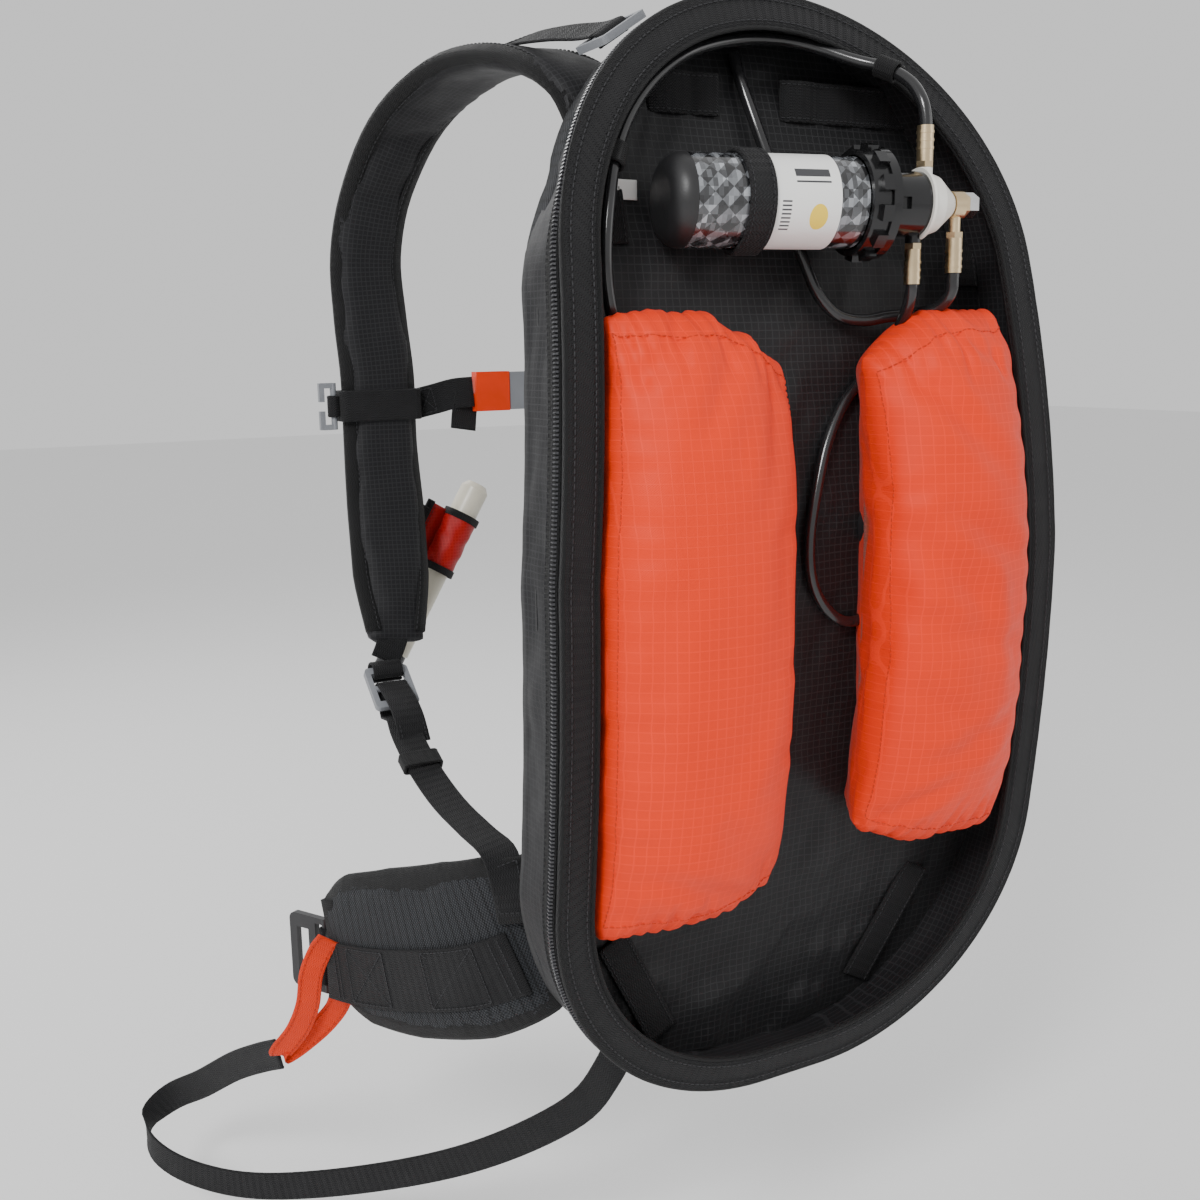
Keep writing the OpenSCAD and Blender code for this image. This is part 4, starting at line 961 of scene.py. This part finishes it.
def make_back_panel():
    """Foam back with sewn channels between two columns, a lumbar pad and a shoulder yoke."""
    d = -WALL_IN - 2.5
    front = panel_grid(d, PANEL_O, 52, 96)
    back = front.copy()
    for r in back:
        for p in r:
            x, y, z = p
            w = half_w(z, d)
            e = min(w - abs(x), z + d * -1 - 5, PACK_H - 5 - z)
            edge = np.clip(e / 14, 0, 1) ** 0.5
            bump = 14 * max(0, 1 - (x / 95) ** 4) * math.exp(-((z - 110) / 62) ** 4)
            bump += 4 * max(0, 1 - (abs(abs(x) - 70) / 42) ** 2) * math.exp(
                -((z - 380) / 120) ** 4)
            groove = 6 * math.exp(-(x / 9) ** 2) * np.clip((z - 170) / 20, 0, 1)
            for at in (185, 262, 338, 414, 490):
                groove += 3.6 * math.exp(-((z - at - 0.12 * abs(x)) / 5) ** 2) * (abs(x) > 10)
            groove += 3.5 * math.exp(-((abs(x) - 118 + 0.1 * abs(z - 300)) / 5) ** 2)
            p[1] = y + 18 * (0.45 + 0.55 * edge) + bump * edge - groove * edge
    slab("back_foam", front, back, "mesh", PACK, ["back_panel"])


def make_floor_bands():
    def surface(a, b, lift, n=24):
        a, b = np.array(a, float), np.array(b, float)
        pts = [a + (b - a) * i / n for i in range(n + 1)]
        return np.array([(x, bend(z) + FLOOR_O - lift, z) for x, z in pts])
    bands = (((18, 549), (104, 549), 22), ((-66, 549), (-24, 549), 22),
             ((-101, 528), (-101, 470), 20), ((130, 500), (130, 450), 20),
             ((-108, 100), (-70, 30), 20), ((108, 100), (70, 30), 20))
    lines = []
    for i, (a, b, w) in enumerate(bands):
        p = surface(a, b, 3.2)
        if i < 2:                              # a daisy chain stands up between its tacks
            run = np.linspace(0, 1, len(p)) * np.linalg.norm(np.subtract(b, a)) / 26
            p[:, 1] -= 2.4 * np.abs(np.sin(np.pi * run)) ** 0.8
        across = np.cross(tangents(p), (0, 1, 0))
        tape(f"floor_band_{i}", p, w, across, replaces=["floor_webbing"] if i == 0 else ())
        lines += flush(p, w, across, 1.0) + flush(p, w, across, -1.0)
    stitches("floor_band_stitches", lines)
    z = 497
    tag = surface((-108, z), (-82, z), 2.6, 10)
    tag[:, 1] -= 1.2 * np.sin(np.linspace(0, math.pi, len(tag)))
    tape("care_tag", tag, 10, (0, 0, 1), "paper", replaces=["care_label"],
         thick=0.6)


def make_airbag(side, name):
    """The folded bag inside a pouch, in soft layers."""
    m, n = 40, 22
    front, back = [], []
    for i in range(m + 1):
        v = math.sin(math.pi / 2 * (2 * i / m - 1)) * 0.98
        us = [math.sin(math.pi / 2 * (2 * j / n - 1)) * 0.98 for j in range(n + 1)]
        row_ = [pouch_point(side, u, v, 10.0) for u in us]
        front.append([p + (0, 2.5 + 1.2 * math.sin(i * 1.3), 0) for p in row_])
        back.append([(p[0], bend(p[2]) + BAG_O, p[2]) for p in row_])
    obj = slab(name + "_folds", np.array(front), np.array(back), "bag", PACK,
               [name])


make_airbag(-1, "left_airbag")
make_airbag(1, "right_airbag")
make_wall()
make_rim()
make_zip()
make_floor()
make_back_panel()
make_floor_bands()


# ------------------------------------------------------------------ harness
def turned(at, axis, angle, points, half_turn=False):
    """Points given in a buckle's own axes, as mm in the frame; axis is 0 for X, 1 for Y, 2 for Z."""
    p = np.asarray(points, float)
    if half_turn:
        p = p * (-1, -1, 1)
    c, s = math.cos(angle), math.sin(angle)
    i, j = ((1, 2), (2, 0), (0, 1))[axis]
    out = p.copy()
    out[:, i], out[:, j] = c * p[:, i] - s * p[:, j], s * p[:, i] + c * p[:, j]
    return out + at


def adjuster_points(points):
    return turned(ADJUSTER, 0, ADJUSTER_LEAN, points)


def lifter_points(points):
    return turned(LIFTER_AT, 1, LIFTER_LEAN, points, True)


def sided(points, side):
    return np.asarray(points, float) * (-side, 1, 1)


def half_ring(r, n=14, start=-100, end=100):
    """Points round a bar along X, open towards -Y."""
    angles = np.radians(np.linspace(start, end, n))
    return [(0, r * math.cos(a), r * math.sin(a)) for a in angles]


def pad(name, path, widths, across, thick, edge=0.5, blunt=9.0):
    """A foam pad along a path, thinner at both edges."""
    p = np.asarray(path, float)
    _, w, h = frames(p, across)
    grid = []
    for i in range(len(p)):
        half = along(widths, i / (len(p) - 1)) / 2
        xs = [-half, -half + 1.2, -half + blunt / 2, -half + blunt, -half / 3, half / 3,
              half - blunt, half - blunt / 2, half - 1.2, half]
        def up(x):
            k = np.clip((half - abs(x)) / blunt, 0, 1)
            return thick / 2 * (edge * (1 if half - abs(x) > 0.6 else 0.4)
                                + (1 - edge) * math.sin(k * math.pi / 2))
        ring = [(x, up(x)) for x in xs] + [(x, -up(x)) for x in xs[::-1]]
        grid.append([p[i] + a * w[i] + b * h[i] for a, b in ring])
    return lofted(name, grid)


def unwrapped(obj, path, across):
    """Gives a remeshed pad distances along and across its path, in mm, as its unwrapping."""
    p = np.asarray(path, float)
    _, w, _ = frames(p, across)
    run = np.concatenate([[0], np.cumsum(np.linalg.norm(np.diff(p, axis=0), axis=1))])
    co = np.array([v.co for v in obj.data.vertices]) * 1000 + HANG
    near = np.argmin(((co[:, None, :] - p[None]) ** 2).sum(2), axis=1)
    flat = np.stack([((co - p[near]) * w[near]).sum(1),
                     run[near] + ((co - p[near]) * tangents(p)[near]).sum(1)], 1) / 1000
    layer = obj.data.uv_layers.new(name="UVMap")
    loops = np.empty(len(obj.data.loops), int)
    obj.data.loops.foreach_get("vertex_index", loops)
    layer.data.foreach_set("uv", flat[loops].astype(np.float32).ravel())


def edge_binding(name, path, widths, across, thick, wide, sides=(-1, 1), material="binding",
                 proud=0.9):
    """Tape folded over a pad's edges, with a row of thread along it."""
    p = np.asarray(path, float)
    _, w, h = frames(p, across)
    half = np.array([along(widths, i / (len(p) - 1)) / 2 for i in range(len(p))])
    t = thick / 2
    lines = []
    for side in sides:
        section = [(-wide, t + 0.1), (-wide, t + proud), (-wide / 2, t * 0.9 + proud),
                   (-1.5, t * 0.55 + proud), (0.9, t * 0.3), (0.9, -t * 0.3),
                   (-1.5, -t * 0.55 - proud), (-wide / 2, -t * 0.9 - proud),
                   (-wide, -t - proud), (-wide, -t - 0.1), (-wide / 2, -t * 0.75),
                   (-2.5, 0), (-wide / 2, t * 0.75)]
        grid = [[p[i] + side * (half[i] + a) * w[i] + b * h[i] for a, b in section]
                for i in range(len(p))]
        obj = lofted(f"{name}_{'a' if side < 0 else 'b'}", grid)
        place_object(obj, material, PACK)
        for face in (-1, 1):
            lines.append([p[i] + side * (half[i] - wide + 1.6) * w[i]
                          + face * (t + proud + 0.15) * h[i] for i in range(len(p))])
    stitches(name + "_stitches", lines, pitch=3.4)


def make_strap(side, name):
    path = spline(sided(STRAP, side), 5)
    obj = pad(name + "_strap_foam", path, STRAP_W, (1, 0, 0), 12.4, 0.55)
    obj = puffed(obj, 0.0045, 3.0, 0.0016)
    modified(obj, ("SMOOTH", {"iterations": 2}))
    unwrapped(obj, path, (1, 0, 0))

    def dent(q, n):
        soft = 0.9 * noise.noise(Vector((q[0] / 20, q[1] / 22, q[2] / 24)))
        return soft + 0.35 * math.sin(q[2] / 5.5 + 2 * noise.noise(Vector(q / 40))) * (
            0.4 if q[2] < 520 else 1.6)
    shaped(obj, dent)
    place_object(obj, "strap", PACK, [name + "_strap_pad"])
    edge_binding(name + "_strap_binding", path[2:-1], STRAP_W, (1, 0, 0), 9.4, 8.0)
    # the tab round the adjuster's top bar
    tab = [(0, 13.5 + 6.2 * math.cos(a), 6.2 * math.sin(a))
           for a in np.radians(np.linspace(-170, 170, 26))]
    tape(name + "_strap_tab", sided(adjuster_points(tab), side), 20, (1, 0, 0))
    tape(name + "_strap_link", sided(spline([(-146, 274, 236), (-149.5, 272, 229),
                                             (-154.5, 270.3, 219.7)], 4), side), 20, (1, 0, 0))


def make_lifter(side, name):
    path = sided(spline(LIFTER, 4), side)
    tape(name + "_lifter_tape", path, 20, (1, 0, -0.4 * side), last=(1, 0, -0.65 * side),
         replaces=[name + "_lifter_webbing"])
    tape(name + "_lifter_wrap", sided(lifter_points(half_ring(3.2)), side), 20, (1, 0, -0.65 * side))
    stitches(name + "_lifter_stitches",
             box_stitch(path, 20, (1, 0, -0.4 * side), 1.05, 0, 3)
             + box_stitch(path, 20, (1, 0, -0.4 * side), -1.05, 0, 3), pitch=2.6)


def make_lower(side, name):
    start = adjuster_points([(0, -0.4, -3.4), (0, -8, -6.4), (0, -16, -10)])
    path = sided(np.vstack([start, spline(LOWER, 4)]), side)
    across, last = (1, 0, 0), (0.75, 0.66 * side, 0)
    tape(name + "_lower_tape", path, 20, across, last=last, replaces=[name + "_lower_webbing"])
    tape(name + "_lower_wrap", sided(adjuster_points(half_ring(3.2)), side), 20, across)
    tail = adjuster_points(spline([(0, -0.4, 3.4), (0, -8, 6), (0, -18, 9), (0, -32, 10),
                                   (0, -48, 6)], 4))
    tape(name + "_lower_tail", sided(tail, side), 20, across)
    stitches(name + "_lower_stitches", [sided(q, side) for q in flush(tail[-4:], 20, across, 1.0)]
             + box_stitch(path, 20, last, 1.0, len(path) - 7, len(path) - 2)
             + box_stitch(path, 20, last, -1.0, len(path) - 7, len(path) - 2), pitch=2.6)
    ring = [(11.8 * math.copysign(abs(math.cos(a)) ** 0.3, math.cos(a)), 0,
             3.4 * math.copysign(abs(math.sin(a)) ** 0.3, math.sin(a)))
            for a in np.linspace(0.2, 2 * math.pi + 0.3, 40)]
    keeper = sided(turned(np.array((-160.5, 196.0, 172.0)), 0, math.radians(27), ring), side)
    tape(name + "_lower_keeper", keeper, 12, (0, math.cos(math.radians(27)),
                                             math.sin(math.radians(27))), "binding")


def beside(path, distance):
    p = np.asarray(path, float)
    t = tangents(p)
    flat = unit(t * (1, 1, 0))
    return p + distance * np.stack([-flat[:, 1], flat[:, 0], 0 * flat[:, 0]], 1)


def make_wing(side, name):
    path = spline(sided(WING, side), 5)
    obj = pad(name + "_wing_foam", path, WING_H, (0, 0, 1), 13.0, 0.5, 12.0)
    obj = puffed(obj, 0.0045, 3.0, 0.001)
    modified(obj, ("SMOOTH", {"iterations": 2}))
    unwrapped(obj, path, (0, 0, 1))
    shaped(obj, lambda q, n: 0.6 * noise.noise(Vector((q[0] / 22, q[1] / 22, q[2] / 18))) - 0.3)
    place_object(obj, "mesh", PACK, [name + "_hip_wing"])
    edge_binding(name + "_wing_binding", path, WING_H, (0, 0, 1), 11.4, 15.0)
    # the folded tape that closes the tip
    tip, lean = path[-1], tangents(path)[-1]
    _, w, h = frames(path, (0, 0, 1))
    half = WING_H[-1] / 2
    wrap = []
    for a in np.linspace(-math.pi / 2, math.pi / 2, 12):
        wrap.append((math.cos(a) * 2.2, math.sin(a) * 6.6))
    grid = [[tip + lean * (x - 0.5) + h[-1] * y + w[-1] * z for x, y in
             [(-14, -7.2)] + wrap + [(-14, 7.2), (-14, 6.2), (-2, 5.4), (-2, -5.4), (-14, -6.2)]]
            for z in np.linspace(-half + 1, half - 1, 14)]
    cap = lofted(name + "_wing_tip", grid)
    place_object(cap, "binding", PACK)

    flat = [np.add(WING[i], (0, 0, -14 + (2 if i == 5 else 0))) for i in range(1, 6)]
    line_ = beside(spline(flat, 6), 14 / 2 + WEB_T / 2 + 1.1)
    belt = sided(np.vstack([line_, [HIP_BAR + (-0.2, -4.4, 0)]]), side)
    tape(name + "_hip_tape", belt, 38, (0, 0, 1), replaces=[name + "_hip_webbing"])
    ring = [HIP_BAR + (3.4 * math.cos(a), 3.4 * math.sin(a), 0)
            for a in np.radians(np.linspace(-80, 290, 34))]
    tape(name + "_hip_wrap", sided(ring, side), 38, (0, 0, 1))
    away = -1.05 if frames(belt, (0, 0, 1))[2][8][0] * side < 0 else 1.05
    lines = box_stitch(belt, 38, (0, 0, 1), away, 4, 9)
    lines += box_stitch(belt, 38, (0, 0, 1), away, 13, 18)
    edges = flush(belt, 38, (0, 0, 1), away)
    for i in (1, 2, 20, 21):
        lines.append([edges[0][i], edges[1][i]])
    stitches(name + "_hip_stitches", lines, pitch=2.7, radius=0.36)


def boxed(x, y, r, n=9):
    """A rectangle with round corners, as a closed run of (x, y)."""
    out = []
    for cx, cy, a0 in ((x - r, -y + r, -90), (x - r, y - r, 0), (-x + r, y - r, 90),
                       (-x + r, -y + r, 180)):
        for a in np.radians(np.linspace(a0, a0 + 90, n)):
            out.append((cx + r * math.cos(a), cy + r * math.sin(a)))
    return out + out[:2]


def make_chest():
    body = "chest_strap"
    for side in (-1, 1):
        ring = [(side * STRAP_X + x, STRAP_Y + y, CHEST_Z)
                for x, y in boxed(26.8, 8.8, 4.0)]
        tape(f"chest_slider_{'left' if side < 0 else 'right'}", ring, 20, (0, 0, 1), body=body)
    left = spline([(-110.5, 306, 384), (-100, 303, 386.5), (-89, 294, 390), (-78, 288, 391)], 4)
    right = spline([(110.5, 306, 384), (94, 302, 386), (66, 295, 390), (30, 291.8, 391),
                    (-8, 291.8, 391), (-42.5, 291.8, 391)], 5)
    tape("chest_tape_left", left, 20, (0, 0, 1), body=body, replaces=["chest_webbing"])
    tape("chest_tape_right", right, 20, (0, 0, 1), body=body)
    tail = spline([(-80, 293, 390), (-82, 294.5, 378), (-84, 293, 366)], 5)
    tape("chest_tail", tail, 18, (1, 0, 0), body=body)
    x = STRAP_X + 24 + 2 + WEB_T + 3.1
    ring = [(-x + 3.3 * math.cos(a), STRAP_Y + 3.3 * math.sin(a), CHEST_Z)
            for a in np.linspace(0, 2 * math.pi + 0.2, 26)]
    tape("gear_loop", ring, 14, (0, 0, 1), body=body)
    lines = box_stitch(left, 20, (0, 0, 1), 1.0, 0, 4) + box_stitch(left, 20, (0, 0, 1), -1.0, 0, 4)
    lines += box_stitch(right, 20, (0, 0, 1), 1.0, 0, 4)
    lines += box_stitch(right, 20, (0, 0, 1), -1.0, 0, 4)
    stitches("chest_stitches", lines, body=body, pitch=2.5)


def make_loops():
    path = spline(LOOP, 5)
    across = (0.88, -0.47, 0)
    tape("leg_loop_tape", path, 15, across, "loop", replaces=["leg_loop"],
         thick=2.0)
    lines = flush(path, 15, across, 1.25) + flush(path, 15, across, -1.25)
    stitches("leg_loop_stitches", lines, "loop_stitch", pitch=3.0)
    # haul loop: webbing rolled round a core, with flat sewn roots
    path = spline(HAUL, 5)
    t, w, h = frames(path, (0, 0.5, 1))
    grid = []
    for i, p in enumerate(path):
        k = min(i, len(path) - 1 - i) / 8
        flat = float(np.clip(k, 0, 1))
        a, b = 8.0 - 3.0 * flat, 2.6 + 2.2 * flat
        grid.append([p + a * math.cos(g) * w[i] + b * math.sin(g) * h[i]
                     for g in np.linspace(0, 2 * math.pi, 17)[:-1]])
    obj = lofted("haul_handle", grid)
    place_object(obj, "web", PACK, ["haul_loop"])
    seam = [path[i] + h[i] * 5.0 for i in range(6, len(path) - 6)]
    stitches("haul_stitches", [seam, [q + w_ * 1.8 for q, w_ in zip(seam, w[6:-6])]])


def on_cartridge(x, r, a, z=0.0):
    """A point at station x on the cartridge's axis, r out at angle a, as mm in the frame."""
    c, s = math.cos(-CART_YAW), math.sin(-CART_YAW)
    lx, ly = x, r * math.cos(a)
    return np.array((c * lx - s * ly, CART_Y + s * lx + c * ly, CART_Z + r * math.sin(a) + z))


def make_cartridge_strap():
    x = -46.5 + 14.5 / 2
    ring = [on_cartridge(x, 24.6 + (1.0 if k > 60 else 0), a) for k, a in enumerate(
        np.linspace(-math.pi * 0.5, math.pi * 1.6, 66))]
    axis = on_cartridge(1, 0, 0) - on_cartridge(0, 0, 0)
    tape("cartridge_elastic", ring, 14.5, axis, "elastic",
         replaces=["cartridge_strap"], thick=2.0)
    foot = [on_cartridge(x, 25.0, -0.35), on_cartridge(x, 26.8, -0.28), on_cartridge(x, 29.6, -0.2)]
    tape("cartridge_elastic_foot", foot, 14.5, axis, "elastic", thick=2.0)
    rows_ = [[on_cartridge(x + d, 25.75, a) for a in np.linspace(0, 2 * math.pi, 60)]
             for d in (-5.2, 5.2)]
    stitches("cartridge_elastic_stitches", rows_, radius=0.28)


def make_sleeve():
    """Red fabric round the handle, bound in black at both ends and down its seam."""
    at = np.array((-128.0, 327.0, 211.0))
    up = unit((0.51, 0, 0.86))
    u = unit(np.cross((0, 1, 0), up))
    v = np.array((0.0, 1.0, 0.0))

    def skin(t0, t1, r0, r1, steps, wrinkle):
        grid = []
        for t in np.linspace(t0, t1, steps):
            ring = []
            for a in np.linspace(0, 2 * math.pi, 37)[:-1]:
                r = r1 + wrinkle * noise.noise(Vector((math.cos(a) * 1.4, math.sin(a) * 1.4,
                                                       t / 7)))
                ring.append(at + up * t + r * (math.cos(a) * u + math.sin(a) * v))
            grid.append(ring)
        inner = [[at + up * t + r0 * (math.cos(a) * u + math.sin(a) * v)
                  for a in np.linspace(0, 2 * math.pi, 37)[:-1]]
                 for t in np.linspace(t1, t0, steps)]
        return lofted_tube(grid + inner)

    def lofted_tube(rings):
        return np.array(rings)
    cloth = lofted("handle_sleeve_cloth", skin(65, 107, 10.5, 12.0, 26, 0.9), closed_rows=True,
                   capped=False)
    place_object(cloth, "red", PACK, ["handle_sleeve"])
    for i, (a, b) in enumerate(((63.5, 68.5), (103.5, 108.5))):
        hem = lofted(f"handle_sleeve_hem_{i}", skin(a, b, 10.4, 13.2, 6, 0.2), closed_rows=True,
                     capped=False)
        place_object(hem, "binding", PACK)
    flap = [[at + up * t - u * x + v * y for x, y in
             ((11.0, -1.0), (26.5, -1.1), (27.3, 0.0), (26.5, 1.1), (11.0, 1.0))]
            for t in np.linspace(66, 106, 16)]
    obj = lofted("handle_sleeve_flap", flap)
    place_object(obj, "red", PACK)
    edge = [[at + up * t - u * x + v * y for x, y in
             ((23.0, -1.7), (27.4, -1.5), (28.2, 0.0), (27.4, 1.5), (23.0, 1.7))]
            for t in np.linspace(65, 107, 16)]
    obj = lofted("handle_sleeve_edge", edge)
    place_object(obj, "binding", PACK)
    tab = spline(SLEEVE_TAB, 4)
    tape("handle_sleeve_tab", tab, 30, up, "web")
    stitches("handle_tab_stitches", box_stitch(tab, 30, up, 1.0, len(tab) - 7, len(tab) - 1)
             + box_stitch(tab, 30, up, -1.0, len(tab) - 7, len(tab) - 1))
    stitches("handle_sleeve_stitches",
             [[at + up * t - u * 21.5 + v * y for t in np.linspace(67, 105, 20)]
              for y in (-1.4, 1.4)], radius=0.28)


def make_keepers():
    """Small webbing loops that hold a hose to the wall."""
    for i, (at, reach) in enumerate(((5, (0.2, 0.9, 0.5)), (12, (-0.4, 0.9, 0.1)))):
        p = np.array(HOSE_LEFT[at], float)
        t = unit(np.subtract(HOSE_LEFT[at + 1], HOSE_LEFT[at - 1]))
        back = np.array(reach, float)
        back = unit(back - back.dot(t) * t)
        side = np.cross(t, back)
        ring = [p + 4.9 * (math.cos(a) * back + math.sin(a) * side)
                for a in np.linspace(0.5, 2 * math.pi - 0.5, 24)]
        ring = [p + back * 10 + side * 1.2] + ring + [p + back * 10 - side * 1.2]
        tape(f"hose_keeper_{i}", ring, 12, t, "binding")


MATERIALS["loop_stitch"] = finished("loop_stitch", (0.5, 0.03, 0.003), 0.5, sheen=0.05)
MATERIALS["elastic"] = webbing_material("elastic_tape", (0.01, 0.01, 0.011), pitch=2.0)
for side, name in ((-1, "left"), (1, "right")):
    make_strap(side, name)
    make_lifter(side, name)
    make_lower(side, name)
    make_wing(side, name)
make_chest()
make_loops()
make_cartridge_strap()
make_sleeve()
make_keepers()

# ------------------------------------------------------------------ hard parts from the CAD
HARD = {
    "frame_sheet": ("black", 0.3), "left_inflator": ("black", 0.8),
    "right_inflator": ("black", 0.8), "valve_bracket": ("black", 0.8),
    "valve_body": ("gloss_black", 0.5), "retaining_ring": ("gloss_black", 0.6),
    "seal_disc": ("white", 0.3), "valve_cone": ("white", 0.6), "banjo_bolt": ("chrome", 0.4),
    "banjo_ring": ("brass", 0.4), "hose_ferrules": ("brass", 0.25),
    "cartridge_cylinder": ("carbon", 0.3), "cartridge_cap": ("cap", 0.0),
    "cartridge_label": ("label", 0.0), "neck_seal": ("seal", 0.0),
    "piercing_piston": ("chrome", 0.3), "piston_spring": ("chrome", 0.0),
    "left_lifter_buckle": ("grey", 0.8), "right_lifter_buckle": ("grey", 0.8),
    "left_adjuster": ("grey", 0.8), "right_adjuster": ("grey", 0.8),
    "handle_tube": ("beige", 1.0), "handle_coupling": ("black", 0.8),
    "chest_female": ("bright_orange", 1.0), "chest_male": ("grey", 0.9),
    "gear_ring": ("grey", 0.7), "left_hip_buckle": ("black", 0.9),
    "right_hip_buckle": ("black", 0.9)}
for name, (material, radius) in HARD.items():
    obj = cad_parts[name]
    obj.data.materials.clear()
    obj.data.materials.append(MATERIALS[material])
    if radius:
        bevel = obj.modifiers.new("bevel", "BEVEL")
        bevel.width = radius / 1000
        bevel.segments = 3
        bevel.limit_method = "ANGLE"
        bevel.angle_limit = math.radians(35)
        bevel.harden_normals = False


# ------------------------------------------------------------------ stage and light
def make_stage():
    mesh = bpy.data.meshes.new("backdrop")
    low = float(cad_box[0][2]) - 0.04
    mesh.from_pydata([(-9, -9, low), (9, -9, low), (9, 9, low), (-9, 9, low)], [], [(0, 1, 2, 3)])
    floor = bpy.data.objects.new("backdrop", mesh)
    bpy.context.scene.collection.objects.link(floor)
    paint = bpy.data.materials.new("backdrop")
    paint.use_nodes = True
    tree = paint.node_tree
    shader = tree.nodes["Principled BSDF"]
    shader.inputs["Base Color"].default_value = (0.86, 0.86, 0.86, 1)
    shader.inputs["Roughness"].default_value = 0.9
    mesh.materials.append(paint)
    world = bpy.data.worlds.new("studio")
    bpy.context.scene.world = world
    world.use_nodes = True
    world.node_tree.nodes["Background"].inputs["Color"].default_value = (1, 1, 1, 1)
    world.node_tree.nodes["Background"].inputs["Strength"].default_value = 0.85


def make_lamp(name, place, size, watts):
    data = bpy.data.lights.new(name, "AREA")
    data.shape, data.size, data.energy = "DISK", size, watts
    lamp = bpy.data.objects.new(name, data)
    bpy.context.scene.collection.objects.link(lamp)
    lamp.location = place
    aim = Vector((0, 0, -0.3)) - Vector(place)
    lamp.rotation_mode = "QUATERNION"
    lamp.rotation_quaternion = aim.to_track_quat("-Z", "Y")


make_stage()
make_lamp("key", (-1.5, -1.3, 1.0), 0.6, 34)
make_lamp("fill", (1.5, -1.3, 0.2), 1.2, 4)
make_lamp("rim", (-0.4, 1.6, 1.0), 1.0, 16)
